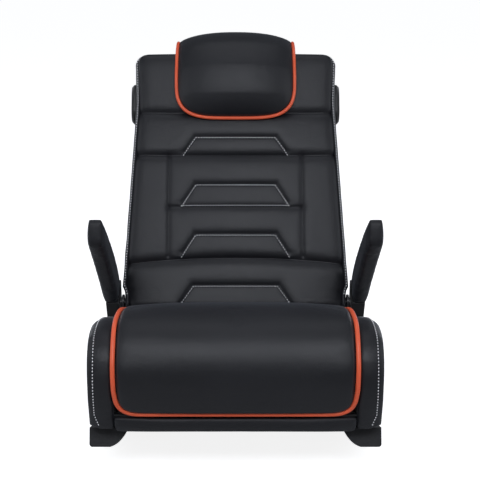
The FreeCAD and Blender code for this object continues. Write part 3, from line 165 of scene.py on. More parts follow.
bpy.context.scene.view_settings.view_transform = "Standard"
studio()
camera()
white_floor()


# Two rocker rails and the rear board: moulded black plastic with a pebbled skin and faint scuffs. The bottom
# board between the rails is painted fibreboard.
PLASTIC = (0.013, 0.013, 0.014)
BASE_BOARD = (0.02, 0.018, 0.016)


def skin(name):
    """An empty material, its tree, and the place on the piece that its patterns follow."""
    material, tree = empty_material(name)
    return material, tree, add(tree, "ShaderNodeTexCoord").outputs["Object"]


def noise(tree, place, scale, detail=2.0, **more):
    return add(tree, "ShaderNodeTexNoise", Vector=place, Scale=scale, Detail=detail, **more).outputs["Fac"]


def cells(tree, place, scale, feature="F1"):
    spots = add(tree, "ShaderNodeTexVoronoi", {"feature": feature}, Vector=place, Scale=scale)
    return spots.outputs["Distance"]


def ranged(tree, value, low, high, **more):
    return add(tree, "ShaderNodeMapRange", Value=value, To_Min=low, To_Max=high, **more).outputs[0]


def bumped(tree, strength, distance, height, **more):
    return add(tree, "ShaderNodeBump", Strength=strength, Distance=distance, Height=height, **more).outputs[0]


def finished(tree, tint, roughness, bump, **more):
    """Closes a material with its shader, whose other sockets take plain values."""
    shader = add(tree, "ShaderNodeBsdfPrincipled", Base_Color=tint, Roughness=roughness, Normal=bump, **more)
    add(tree, "ShaderNodeOutputMaterial", Surface=shader.outputs[0])


def moulded(name, colour, rough=0.48, pebble=0.00035, pebble_scale=420.0, scuff=0.25):
    """Moulded plastic: a pebbled skin, slightly uneven gloss and scuffs in the dullest places."""
    material, tree, place = skin(name)
    cloud = noise(tree, place, 9.0, 5.0, Roughness=0.62)
    worn = multiplied(tree, cloud, noise(tree, place, 160.0))
    shade = ranged(tree, worn, 0.0, scuff, From_Min=0.18, From_Max=0.42)
    tint = blended(tree, shade, colour, tuple(min(1.0, c * 2.6 + 0.012) for c in colour))
    gloss = ranged(tree, cloud, rough - 0.05, rough + 0.09, From_Min=0.3, From_Max=0.7)
    finished(tree, tint, gloss, bumped(tree, 0.55, pebble, cells(tree, place, pebble_scale, "SMOOTH_F1")))
    return material


def finish_nodes(material, *names):
    """Gives carried-over nodes a material."""
    for name in names:
        dressed(frame["nodes"][name].data, material, False)


def make_piece(name, mesh, body, slot, *stands_for):
    """Puts a finished mesh into the scene as a piece that rides on a body."""
    piece = linked(name, mesh)
    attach(piece, body)
    if stands_for:
        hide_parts(*stands_for)
    return piece


def dressed(mesh, material, soft=True):
    """A mesh in one material, smooth unless it has flat faces."""
    mesh.materials.clear()
    mesh.materials.append(material)
    if soft:
        mesh.shade_smooth()
    return mesh


pebbled_plastic = moulded("pebbled_black_plastic", PLASTIC)
finish_nodes(pebbled_plastic, "rocker_rail_left", "rocker_rail_right", "rear_board")
finish_nodes(moulded("base_board", BASE_BOARD, 0.7, 0.0002, 260.0, 0.5), "base_pan")


# Steel: the two side hoops with their cross tubes and the backrest's loop are bent tube, powder-coated black.
# The arms' pivot bolts and the board's screws are bright zinc, the hinge bolts are coated with the frame.
def powder_coat():
    material, tree, place = skin("black_powder_coat")
    drift = noise(tree, place, 14.0, 3.0)
    tint = blended(tree, drift, (0.011, 0.011, 0.012), (0.024, 0.024, 0.026))
    bump = bumped(tree, 0.3, 0.0002, noise(tree, place, 520.0))
    finished(tree, tint, ranged(tree, drift, 0.28, 0.42), bump)
    return material


def zinc():
    material, tree, place = skin("zinc_plate")
    cloud = noise(tree, place, 90.0, 4.0)
    tint = blended(tree, cloud, (0.36, 0.37, 0.39), (0.62, 0.62, 0.60))
    gloss = ranged(tree, cells(tree, place, 300.0), 0.24, 0.4)
    finished(tree, tint, gloss, bumped(tree, 0.2, 0.0001, cloud), Metallic=1.0)
    return material


coated_steel = powder_coat()
bright_zinc = zinc()
finish_nodes(coated_steel, "seat_frame", "back_frame", "hinge_bolt_left", "hinge_bolt_right")
finish_nodes(bright_zinc, "arm_bolt_left", "arm_bolt_right", "rail_screws")


# Black leather of the whole cover: soft polyurethane leather with a fine pebble grain, shallow creases,
# a faint blue-grey sheen and slightly rubbed ridges.
LEATHER = (0.0100, 0.0102, 0.0125)
LEATHER_RUBBED = (0.022, 0.0225, 0.027)
GRAIN_SCALE = 760.0
GRAIN_STIR = 0.0012
GRAIN_DEPTH = 0.00028


def leather(name, rough=0.40, crease=0.0022):
    material, tree, place = skin(name)
    stir = add(tree, "ShaderNodeTexNoise", Vector=place, Scale=240.0, Detail=2.0)
    moved = add(tree, "ShaderNodeVectorMath", {"operation": "MULTIPLY_ADD"}, i0=stir.outputs["Color"],
                i1=(GRAIN_STIR, GRAIN_STIR, GRAIN_STIR), i2=place)
    pores = cells(tree, moved.outputs[0], GRAIN_SCALE, "DISTANCE_TO_EDGE")
    grain = ranged(tree, pores, 0.0, 1.0, From_Max=0.22)
    fold = noise(tree, place, 26.0, 4.0, Roughness=0.55, Distortion=0.8)
    cloud = noise(tree, place, 5.0, 3.0)
    ridge = add(tree, "ShaderNodeNewGeometry").outputs["Pointiness"]
    rub = ranged(tree, ridge, 0.0, 0.8, From_Min=0.52, From_Max=0.60)
    patch = ranged(tree, cloud, 0.0, 0.30, From_Min=0.35, From_Max=0.75)
    amount = add(tree, "ShaderNodeMath", {"operation": "ADD", "use_clamp": True}, i0=rub, i1=patch)
    tint = blended(tree, amount.outputs[0], LEATHER, LEATHER_RUBBED)
    gloss = ranged(tree, cloud, rough - 0.04, rough + 0.05, From_Min=0.3, From_Max=0.7)
    bump = bumped(tree, 0.30, GRAIN_DEPTH, grain, Normal=bumped(tree, 0.35, crease, fold))
    finished(tree, tint, gloss, bump, Sheen_Weight=0.08, Sheen_Roughness=0.4, Specular_IOR_Level=0.41,
             Sheen_Tint=(0.8, 0.87, 1.0, 1.0))
    return material


black_leather = leather("black_leather")
dull_leather = leather("black_leather_sides", rough=0.52, crease=0.0012)


# Seat cushion: foam under one sheet of leather that runs from its foot over the nose to the hinge. Its crown
# starts at the piping seam, whose lower corners are rounded. A short cloth simulation blows it up a little.
FRAMES = 20
CLOTH_STIFFNESS = 14.0
PRESSURE = 4.0
HELD_PRESSURE = 3.0
MERGE_WITHIN = 0.00002
FULL_TURN = 6.283


def node_copy(name):
    """A merged copy of a carried-over node's mesh."""
    mesh = frame["nodes"][name].data.copy()
    form = bmesh.new()
    form.from_mesh(mesh)
    bmesh.ops.remove_doubles(form, verts=form.verts, dist=MERGE_WITHIN)
    form.to_mesh(mesh)
    form.free()
    mesh.materials.clear()
    return mesh


def points_of(mesh):
    places = np.empty(len(mesh.vertices) * 3)
    mesh.vertices.foreach_get("co", places)
    return places.reshape(-1, 3)


def normals_of(mesh):
    normals = np.empty(len(mesh.vertices) * 3)
    mesh.vertices.foreach_get("normal", normals)
    return normals.reshape(-1, 3)


def set_points(mesh, places):
    mesh.vertices.foreach_set("co", np.asarray(places, dtype=np.float64).ravel())
    mesh.update()


def evaluated(holder):
    """The finished mesh of a work object, which is removed."""
    mesh = bpy.data.meshes.new_from_object(holder.evaluated_get(bpy.context.evaluated_depsgraph_get()))
    bpy.data.objects.remove(holder)
    return mesh


def applied(mesh, *modifiers):
    """A mesh after modifiers, each given as its kind and its settings."""
    holder = linked("work", mesh)
    for kind, settings in modifiers:
        modifier = holder.modifiers.new(kind, kind)
        for key, value in settings.items():
            setattr(modifier, key, value)
    return evaluated(holder)


def evened(mesh, rounds):
    """Evens a mesh out: every point goes half of the way to the middle of its neighbours."""
    edges = np.empty(len(mesh.edges) * 2, dtype=np.int64)
    mesh.edges.foreach_get("vertices", edges)
    a, b = edges.reshape(-1, 2).T
    places = points_of(mesh)
    count = np.bincount(np.concatenate([a, b]), minlength=len(places))[:, None]
    for _ in range(rounds):
        total = np.zeros_like(places)
        np.add.at(total, a, places[b])
        np.add.at(total, b, places[a])
        places = places + 0.5 * (total / np.maximum(count, 1) - places)
    set_points(mesh, places)
    return mesh


def inflated(mesh, swell, pressure, held=None):
    """Blows a cover up by cloth simulation. No point goes further than the swell, and held points stay."""
    start = points_of(mesh)
    holder = linked("work", mesh)
    modifier = holder.modifiers.new("Cloth", "CLOTH")
    cloth = modifier.settings
    cloth.quality = 4
    cloth.mass = 0.25
    cloth.tension_stiffness = CLOTH_STIFFNESS
    cloth.compression_stiffness = CLOTH_STIFFNESS
    cloth.shear_stiffness = 5.0
    cloth.bending_stiffness = 0.6
    cloth.use_pressure = True
    cloth.uniform_pressure_force = pressure
    cloth.effector_weights.gravity = 0.0
    modifier.point_cache.frame_end = FRAMES
    if held is not None:
        group = holder.vertex_groups.new(name="held")
        for i in np.nonzero(held > 0.02)[0]:
            group.add([int(i)], float(held[i]), "REPLACE")
        cloth.vertex_group_mass = "held"
        cloth.pin_stiffness = 1.0
    for number in range(1, FRAMES + 1):
        bpy.context.scene.frame_set(number)
    result = evaluated(holder)
    bpy.context.scene.frame_set(1)
    moved = points_of(result) - start
    far = np.linalg.norm(moved, axis=1)[:, None]
    set_points(result, start + moved * np.minimum(1.0, swell / np.maximum(far, 1e-9)))
    return result


def refined(mesh):
    return applied(mesh, ("SUBSURF", {"levels": 1, "render_levels": 1}))


def stuffed(source, voxel, swell, material, pressure=PRESSURE):
    """A cushion from a node's plain form: remeshed, drawn in a little, blown up, evened out, refined and
    fitted to the node's box."""
    mesh = applied(node_copy(source), ("REMESH", {"mode": "VOXEL", "voxel_size": voxel}))
    evened(mesh, 3)
    set_points(mesh, points_of(mesh) - normals_of(mesh) * swell * 0.5)
    mesh = refined(evened(inflated(mesh, swell, pressure), 2))
    places = points_of(mesh)
    low, high = (np.array(corner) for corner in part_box(source))
    share = (places - places.min(axis=0)) / np.ptp(places, axis=0)
    set_points(mesh, low + share * (high - low))
    return dressed(mesh, material)


STEP = 0.006


def lengths_along(points):
    """The length run through up to each point of a line."""
    return np.concatenate([[0.0], np.cumsum(np.linalg.norm(np.diff(points, axis=0), axis=1))])


def bent_line(corners):
    """Samples a side-view line of straight runs joined by arcs as wide as the runs allow."""
    corners = [Vector(c) for c in corners]
    line = [corners[0]]
    for before, here, after in zip(corners, corners[1:], corners[2:]):
        into, out = (here - before).normalized(), (after - here).normalized()
        turn = into.angle(out)
        reach = 0.5 * min((here - before).length, (after - here).length)
        radius = reach / math.tan(turn / 2)
        middle = here + (out - into).normalized() * math.hypot(reach, radius)
        first = here - into * reach - middle
        spin = 1.0 if into.x * out.y - into.y * out.x > 0 else -1.0
        count = max(2, math.ceil(radius * turn / STEP))
        for i in range(count + 1):
            a = spin * turn * i / count
            line.append(middle + Vector((first.x * math.cos(a) - first.y * math.sin(a),
                                         first.x * math.sin(a) + first.y * math.cos(a))))
    line.append(corners[-1])
    raw = np.array([tuple(p) for p in line])
    along = lengths_along(raw)
    even = np.linspace(0.0, along[-1], max(2, int(along[-1] / STEP)) + 1)
    return np.column_stack([np.interp(even, along, raw[:, k]) for k in (0, 1)])


def outward(line):
    """Directions square to a side-view line, on its upper side."""
    run = np.gradient(line, axis=0)
    run /= np.linalg.norm(run, axis=1)[:, None]
    return np.column_stack([-run[:, 1], run[:, 0]])


def quads(rows, columns):
    """Faces of a sheet of points, row by row."""
    return [(r * columns + c, r * columns + c + 1, (r + 1) * columns + c + 1, (r + 1) * columns + c)
            for r in range(rows - 1) for c in range(columns - 1)]


def sheet_mesh(name, places, faces):
    mesh = bpy.data.meshes.new(name)
    mesh.from_pydata([tuple(p) for p in places], [], faces)
    return mesh


def shell_between(name, front, back):
    """A closed cover from its front sheet and its back sheet, which have the same rows and columns."""
    rows, columns = front.shape[:2]
    count = rows * columns
    faces = []
    for quad in quads(rows, columns):
        faces += [quad, tuple(count + i for i in quad[::-1])]
    rim = ([c for c in range(columns)] + [r * columns + columns - 1 for r in range(1, rows)]
           + [(rows - 1) * columns + c for c in range(columns - 2, -1, -1)]
           + [r * columns for r in range(rows - 2, 0, -1)])
    faces += [(b, a, count + a, count + b) for a, b in zip(rim, rim[1:] + rim[:1])]
    mesh = sheet_mesh(name, np.concatenate([front.reshape(-1, 3), back.reshape(-1, 3)]), faces)
    form = bmesh.new()
    form.from_mesh(mesh)
    bmesh.ops.recalc_face_normals(form, faces=form.faces)
    form.to_mesh(mesh)
    form.free()
    return mesh


def ripple(t, seed, waves, low, high):
    """A fixed mixture of gentle waves, the same on every run."""
    source = np.random.default_rng(seed)
    total = np.zeros_like(t)
    for _ in range(waves):
        length, phase, size = source.uniform(low, high), source.uniform(0, FULL_TURN), source.uniform(0.4, 1.0)
        total += size * np.sin(FULL_TURN * t / length + phase)
    return total / waves


def on_line(line, s):
    """Places and outward directions at lengths along a side-view line, which runs on straight before its
    start, and the length of the line."""
    along = lengths_along(line)
    out = outward(line)
    place = np.stack([np.interp(s, along, line[:, k]) for k in (0, 1)], axis=-1)
    way = np.stack([np.interp(s, along, out[:, k]) for k in (0, 1)], axis=-1)
    before = np.minimum(s, 0.0)[..., None] * (line[1] - line[0]) / along[1]
    return place + before, way, along[-1]


def raised(x, place, way, lift):
    """A sheet of points, each raised off its place on the side-view line."""
    return np.stack([x, place[..., 0] + way[..., 0] * lift, place[..., 1] + way[..., 1] * lift], axis=-1)


JOINTS = {joint["name"]: joint for joint in frame["record"]["behaviour"]["joints"]}
HINGE = Vector(JOINTS["backrest_fold"]["pos_m"])
HINGE_ROOM = 0.0375
PAD_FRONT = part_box("seat_pad")[0].y
CUSHION_LINE = ((0.012, 0.156), (-0.007, 0.236), (0.045, 0.320), (0.130, 0.334), (0.420, 0.220),
                (0.470, 0.191))
PIPING_DEPTH = 0.007
# half the width, by the length along the line
CUSHION_W_AT = ((0.0, 0.10, 0.19, 0.26, 0.34), (0.2265, 0.2290, 0.2285, 0.2235, 0.2200))
CUSHION_ROWS = 117
CUSHION_COLUMNS = 85
ROW_CROWDING = 1.12
CUSHION_CORNER = 0.050
CORNER_POWER = 2.8
CUSHION_CROWN = 0.0035
CUSHION_LIFT = 0.0075
CUSHION_ROLL = 0.030
CUSHION_FADE = 0.11
CUSHION_PUCKER = 0.0007
CUSHION_SWELL = 0.0035
CUSHION_BELOW = 0.034
UNDERSIDE_W = 0.985


def cushion_line():
    """The piping's height on the cushion, seen from the side."""
    line = bent_line(CUSHION_LINE)
    return line - outward(line) * PIPING_DEPTH + (PAD_FRONT, 0.0)


def cushion_start(x):
    """How far up the front the seam stands at a place across the cushion: its corners are rounded."""
    q = np.clip((np.abs(x) - (CUSHION_W_AT[1][0] - CUSHION_CORNER)) / CUSHION_CORNER, 0.0, 1.0)
    return CUSHION_CORNER * (1 - (1 - q ** CORNER_POWER) ** (1 / CORNER_POWER))


def seat_cushion():
    """The cushion's cover, which leaves the hinge and the backrest's rolled foot their room."""
    line = cushion_line()
    length = on_line(line, np.zeros(1))[2]
    u = np.linspace(-1.0, 1.0, CUSHION_COLUMNS)[None, :] * np.ones((CUSHION_ROWS, 1))
    v = (np.linspace(0.0, 1.0, CUSHION_ROWS) ** ROW_CROWDING)[:, None] * np.ones((1, CUSHION_COLUMNS))
    start = cushion_start(u * CUSHION_W_AT[1][0])
    s = start + v * (length - start)
    x = u * np.interp(s, *CUSHION_W_AT)
    place, way, _ = on_line(line, s)
    edge = np.minimum(np.interp(s, *CUSHION_W_AT) - np.abs(x), s - start)
    near = np.clip(1 - edge / CUSHION_ROLL, 0.0, 1.0)
    lift = CUSHION_LIFT * np.sqrt(1 - near ** 2.4) + CUSHION_CROWN * (1 - np.abs(u) ** 3)
    pucker = (ripple(s, 5, 6, 0.02, 0.07) * np.exp(-edge / 0.020)
              + ripple(x, 6, 6, 0.03, 0.08) * np.exp(-(s - start) / 0.03))
    lift += CUSHION_PUCKER * pucker * (1 - near ** 6)
    lift *= np.clip((length - s) / CUSHION_FADE, 0.0, 1.0)
    front = raised(x, place, way, lift)
    back = raised(x * UNDERSIDE_W, place, way, -CUSHION_BELOW)
    for sheet in (front, back):
        arm = sheet[..., 1:] - np.array([HINGE.y, HINGE.z])
        reach = np.hypot(arm[..., 0], arm[..., 1])[..., None]
        sheet[..., 1:] += arm * (np.maximum(HINGE_ROOM / reach, 1.0) - 1.0)
    mesh = shell_between("seat_cushion", front, back)
    held = np.ones(len(mesh.vertices))
    held[:front.shape[0] * front.shape[1]] = np.clip(1.15 - edge.ravel() / 0.02, 0.0, 1.0)
    return dressed(refined(inflated(mesh, CUSHION_SWELL, HELD_PRESSURE, held)), black_leather)


cushion = make_piece("seat_cushion", seat_cushion(), "seat", "black_leather", "seat_pad")


# Side bolsters: narrow cushions beside the seat cushion, on foam, with an outer seam that is topstitched.
BOLSTER_VOXEL = 0.0045
BOLSTER_SWELL = 0.0045
BOLSTER_OUT = 0.0055
BOLSTER_INNER_X = 0.236
BOLSTER_W = 0.044
for side in ("left", "right"):
    bolster = make_piece("side_bolster_" + side,
                         stuffed("seat_bolster_" + side, BOLSTER_VOXEL, BOLSTER_SWELL, black_leather), "seat",
                         "black_leather", "seat_bolster_" + side)
    places = points_of(bolster.data)
    spread = np.clip((np.abs(places[:, 0]) - BOLSTER_INNER_X) / BOLSTER_W, 0.0, 1.0)
    places[:, 0] += np.sign(places[:, 0]) * BOLSTER_OUT * spread
    set_points(bolster.data, places)


# Upholstered boards that close the seat: the two side walls and the apron under the cushion's foot.
BOARD_VOXEL = 0.006
BOARD_SWELL = 0.0025
BOARD_PRESSURE = 2.0
for piece_name, source in (("side_wall_left", "side_panel_left"), ("side_wall_right", "side_panel_right"),
                           ("front_apron", "seat_front_skirt")):
    board = make_piece(piece_name, stuffed(source, BOARD_VOXEL, BOARD_SWELL, dull_leather, BOARD_PRESSURE),
                       "seat", "black_leather", source)


# Bright piping round the seat cushion: a leather-covered cord, sewn into the seam from one end of the hinge
# over the nose and round the foot to the other end.
PIPING = (1.0, 0.155, 0.060)
PIPING_R = 0.00475
PIPING_OUT = 0.0038
PIPING_END = 0.585


def piping_leather():
    material, tree, place = skin("orange_piping")
    cloud = noise(tree, place, 30.0, 3.0)
    tint = blended(tree, cloud, PIPING, (PIPING[0] * 0.86, PIPING[1] * 0.72, PIPING[2] * 0.7))
    bump = bumped(tree, 0.3, 0.0002, cells(tree, place, 900.0, "DISTANCE_TO_EDGE"))
    finished(tree, tint, ranged(tree, cloud, 0.36, 0.5), bump)
    return material


def tube_mesh(name, points, radius):
    """A round cord of bright leather along a smooth line of points."""
    data = bpy.data.curves.new(name, "CURVE")
    data.dimensions = "3D"
    data.bevel_depth = radius
    data.bevel_resolution = 4
    data.use_fill_caps = True
    line = data.splines.new("NURBS")
    line.points.add(len(points) - 1)
    for at, p in zip(line.points, points):
        at.co = (*p, 1.0)
    line.use_endpoint_u = True
    line.order_u = 3
    line.resolution_u = 2
    return dressed(evaluated(linked(name, data)), orange_leather)


orange_leather = piping_leather()


def mirrored(half):
    """A whole seam line from its half at -X, whose last point lies in the middle."""
    half = np.array(half)
    return np.concatenate([half, half[::-1][1:] * (-1.0, 1.0)])


def cushion_piping():
    """The cord lies just outside the cushion's seam: down one side, across the foot and up the other side."""
    up = np.linspace(PIPING_END, CUSHION_CORNER, 46)
    side = [(-float(np.interp(s, *CUSHION_W_AT)) - PIPING_OUT, s) for s in up]
    corner = []
    for turn in np.linspace(0.0, math.pi / 2, 12)[1:-1]:
        q = math.cos(turn) ** (2 / CORNER_POWER)
        rise = math.sin(turn) ** (2 / CORNER_POWER)
        w = CUSHION_W_AT[1][0] - CUSHION_CORNER
        r = CUSHION_CORNER + PIPING_OUT
        corner.append((-(w + r * q), CUSHION_CORNER - r * rise))
    foot = [(x, -PIPING_OUT) for x in np.linspace(-CUSHION_W_AT[1][0] + CUSHION_CORNER, 0.0, 14)]
    seam = mirrored(side + corner + foot)
    return np.column_stack([seam[:, 0], on_line(cushion_line(), seam[:, 1])[0]])


make_piece("seat_piping_cord", tube_mesh("seat_piping_cord", cushion_piping(), PIPING_R), "seat",
           "orange_piping", "seat_piping")


# Topstitching: rows of pale thread, one short stitch after the other, laid on the finished cover.
THREAD = (0.95, 0.95, 0.96)
STITCH_PITCH = 0.0062
STITCH_LENGTH = 0.0036
THREAD_R = 0.00115


def thread():
    material, tree, place = skin("pale_thread")
    twist = noise(tree, place, 1500.0)
    finished(tree, blended(tree, twist, (0.80, 0.80, 0.81), THREAD), 0.6, bumped(tree, 0.4, 0.0002, twist))
    return material


def stitch_tree():
    tree = bpy.data.node_groups.new("stitch_rows", "GeometryNodeTree")
    face = tree.interface
    face.new_socket("Rows", in_out="INPUT", socket_type="NodeSocketGeometry")
    for name in ("Pitch", "Stitch Length", "Thread Radius"):
        face.new_socket(name, in_out="INPUT", socket_type="NodeSocketFloat")
    face.new_socket("Thread", in_out="INPUT", socket_type="NodeSocketMaterial")
    face.new_socket("Stitches", in_out="OUTPUT", socket_type="NodeSocketGeometry")
    given = add(tree, "NodeGroupInput")
    spots = add(tree, "GeometryNodeCurveToPoints", {"mode": "LENGTH"}, Curve=given.outputs["Rows"],
                Length=given.outputs["Pitch"])
    half = multiplied(tree, given.outputs["Stitch Length"], 0.5)
    size = add(tree, "ShaderNodeCombineXYZ", X=given.outputs["Thread Radius"],
               Y=given.outputs["Thread Radius"], Z=half)
    bead = add(tree, "GeometryNodeMeshUVSphere", Segments=6, Rings=5, Radius=1.0)
    stitch = add(tree, "GeometryNodeTransform", Geometry=bead.outputs["Mesh"], Scale=size.outputs[0])
    rows = add(tree, "GeometryNodeInstanceOnPoints", Points=spots.outputs["Points"],
               Instance=stitch.outputs["Geometry"], Rotation=spots.outputs["Rotation"])
    real = add(tree, "GeometryNodeRealizeInstances", Geometry=rows.outputs["Instances"])
    round_shade = add(tree, "GeometryNodeSetShadeSmooth", Geometry=real.outputs["Geometry"])
    threaded = add(tree, "GeometryNodeSetMaterial", Geometry=round_shade.outputs["Geometry"],
                   Material=given.outputs["Thread"])
    add(tree, "NodeGroupOutput", Stitches=threaded.outputs["Geometry"])
    return tree


def grown(name, rows, tree, **inputs):
    """Runs a node tree on lines of points and returns the result as a plain mesh."""
    data = bpy.data.curves.new(name, "CURVE")
    data.dimensions = "3D"
    for points in rows:
        line = data.splines.new("POLY")
        line.points.add(len(points) - 1)
        for at, p in zip(line.points, points):
            at.co = (*p, 1.0)
    holder = linked(name, data)
    modifier = holder.modifiers.new("grow", "NODES")
    modifier.node_group = tree
    for item in tree.interface.items_tree:
        key = item.name.replace(" ", "_")
        if key in inputs:
            modifier[item.identifier] = inputs[key]
    holder.update_tag()
    return evaluated(holder)


pale_thread = thread()
stitches = stitch_tree()


def surface_of(*pieces):
    """Lets points be dropped onto the surface of finished pieces."""
    places, faces = [], []
    for piece in pieces:
        base = len(places)
        places += [v.co.copy() for v in piece.data.vertices]
        faces += [[base + i for i in f.vertices] for f in piece.data.polygons]
    return BVHTree.FromPolygons(places, faces)


def laid_on(surface, points, direction, lift, reach=0.06):
    """Drops points along a direction onto a surface and lifts them off by a little."""
    row = []
    for p, way in zip(points, direction):
        way = Vector(way)
        hit, normal, _, _ = surface.ray_cast(Vector(p) - way * reach, way, 2 * reach)
        if hit is not None:
            row.append(tuple(hit - way * lift))
    return row


def sew(name, rows, body, slot):
    mesh = grown(name, rows, stitches, Pitch=STITCH_PITCH, Stitch_Length=STITCH_LENGTH,
                 Thread_Radius=THREAD_R, Thread=pale_thread)
    return make_piece(name, mesh, body, slot)


BOLSTER_LINE = [(0.034, 0.116), (0.004, 0.205), (0.038, 0.292), (0.120, 0.310), (0.428, 0.1886)]
BOLSTER_SEAM_X = 0.2715
THREAD_LIFT = 0.0009
for side, sign in (("left", -1.0), ("right", 1.0)):
    line = bent_line(BOLSTER_LINE)
    out = outward(line)
    share = np.linspace(0.0, 1.0, len(line))
    x = sign * (BOLSTER_SEAM_X - 0.006 * np.clip((share - 0.35) / 0.3, 0, 1)
                - 0.010 * np.clip((0.06 - share) / 0.06, 0, 1))
    points = np.column_stack([x, line[:, 0] + PAD_FRONT, line[:, 1]])
    ways = np.column_stack([np.zeros(len(line)), -out[:, 0], -out[:, 1]])
    surface = surface_of(bpy.data.objects["side_bolster_" + side], bpy.data.objects["side_wall_" + side])
    sew("bolster_stitches_" + side, [laid_on(surface, points[2:-3], ways[2:-3], THREAD_LIFT)], "seat",
        "black_leather")


# Seat webbing and back webbing: woven elastic straps, flat, with a herringbone rib.
def strap_weave():
    material, tree, place = skin("woven_strap")
    weave = add(tree, "ShaderNodeTexWave", {"bands_direction": "DIAGONAL"}, Vector=place, Scale=260.0,
                Distortion=1.0)
    ribs = add(tree, "ShaderNodeTexWave", {"bands_direction": "X"}, Vector=place, Scale=330.0)
    both = multiplied(tree, weave.outputs["Fac"], ribs.outputs["Fac"])
    tint = blended(tree, both, (0.015, 0.015, 0.015), (0.05, 0.05, 0.05))
    finished(tree, tint, 0.85, bumped(tree, 0.6, 0.0004, both), Sheen_Weight=0.2)
    return material


def softened(source, width, material):
    """A node's form with its edges rounded."""
    mesh = applied(node_copy(source), ("BEVEL", {"width": width, "segments": 2, "limit_method": "ANGLE"}))
    return dressed(mesh, material, False)


STRAP_EDGE = 0.0007
woven_strap = strap_weave()
for piece_name, source, body in (("seat_straps", "seat_webbing", "seat"),
                                 ("back_straps", "back_webbing", "backrest")):
    make_piece(piece_name, softened(source, STRAP_EDGE, woven_strap), body, "webbing", source)


# Arms: a moulded core on a pivot bolt, with a padded leather sleeve over its upper part. The sleeve is plain
# and dull, and its corners are round.
ARM_VOXEL = 0.0045
ARM_SWELL = 0.005
finish_nodes(pebbled_plastic, "arm_core_left", "arm_core_right")
for side in ("left", "right"):
    sleeve = make_piece("arm_sleeve_" + side, stuffed("arm_pad_" + side, ARM_VOXEL, ARM_SWELL, dull_leather),
                        "arm_" + side, "black_leather", "arm_pad_" + side)


# Backrest face: one quilted sheet of leather over foam, sewn into panels by full seams, with four sewn
# trapezoids that each stand on a seam. It is built upright, with the hinge axis as its origin, then reclined.
RECLINE = math.radians(28.0)
FACE_FRONT = 0.028
FACE_CROWN = 0.009
FACE_INSET = 0.0085
FACE_REAR = 0.006
BACK_TOP = 0.590
BACK_CORNER_R = 0.028
HALF_W_LOW = 0.2535
HALF_W_HIP = 0.260
EAR_Z = 0.0245
HIP_Z = 0.033
HALF_W_WAIST = 0.234
HALF_W_TOP = 0.238
WAIST_Z = 0.470
ROLL_TURN = math.radians(100.0)
GRID = 0.00195
FACE_TOP = BACK_TOP - 0.004
FACE_CORNER_R = BACK_CORNER_R - 0.006
PANEL_SWELL = 0.0035
PUCKER = 0.0007
EDGE_PUCKER = 0.0005
SIDE_SEAM = (0.0055, 0.0045)
OUTER_EDGE = (0.0085, 0.009)
TOP_EDGE = (0.010, 0.010)
TRAPEZOID_EDGE = (0.0075, 0.0085)
TRAPEZOID_RISE = 0.0016
TOP_LEAN = 0.010
EAR_CORNER = 0.075
SEAM_TOP = 0.442
SEAM_SHOULDER = 0.340
SEAM_MIDDLE = 0.218
SEAM_LUMBAR = 0.099
SEAM_SIDE_X = 0.155
TRAPEZOIDS = (
    # foot of the trapezoid, its top, half width at the foot, half width at the top
    (SEAM_SHOULDER, 0.384, 0.124, 0.0945),
    (SEAM_MIDDLE, 0.271, 0.1265, 0.0935),
    (SEAM_LUMBAR, 0.153, 0.1265, 0.0935),
    (-0.006, 0.0345, 0.1250, 0.098),
)


def reclined(places):
    """From the upright frame of the backrest to its place."""
    places = np.asarray(places, dtype=float)
    c, s = math.cos(RECLINE), math.sin(RECLINE)
    return np.column_stack([places[:, 0], HINGE.y + places[:, 1] * c + places[:, 2] * s,
                            HINGE.z + places[:, 2] * c - places[:, 1] * s])


def back_half_w(s):
    return np.interp(s, (EAR_Z, HIP_Z, WAIST_Z, BACK_TOP), (HALF_W_LOW, HALF_W_HIP, HALF_W_WAIST, HALF_W_TOP))


def to_segment(x, s, a, b):
    """Distance from points to a straight run between two points."""
    run = np.subtract(b, a)
    share = np.clip(((x - a[0]) * run[0] + (s - a[1]) * run[1]) / run.dot(run), 0.0, 1.0)
    return np.hypot(x - a[0] - share * run[0], s - a[1] - share * run[1])


def seam_line(level, arch):
    """Height of a seam across the back: arched upwards in the middle by the arch."""
    return lambda x: level - arch * (x / 0.245) ** 2


def tuck(gap, depth, reach):
    """How deep the cover is drawn in at a distance from a seam."""
    return depth * np.exp(-gap / reach)


SEAMS = (
    # height of the seam by x, half its length, depth of the tuck, reach of the tuck
    (seam_line(SEAM_TOP, -0.004), 0.30, 0.0085, 0.0085),
    (seam_line(SEAM_SHOULDER, -0.004), 0.30, 0.0090, 0.0085),
    (seam_line(SEAM_MIDDLE, 0.0), SEAM_SIDE_X - 0.002, 0.0060, 0.0060),
    (seam_line(SEAM_LUMBAR, 0.013), 0.30, 0.0095, 0.0095),
)


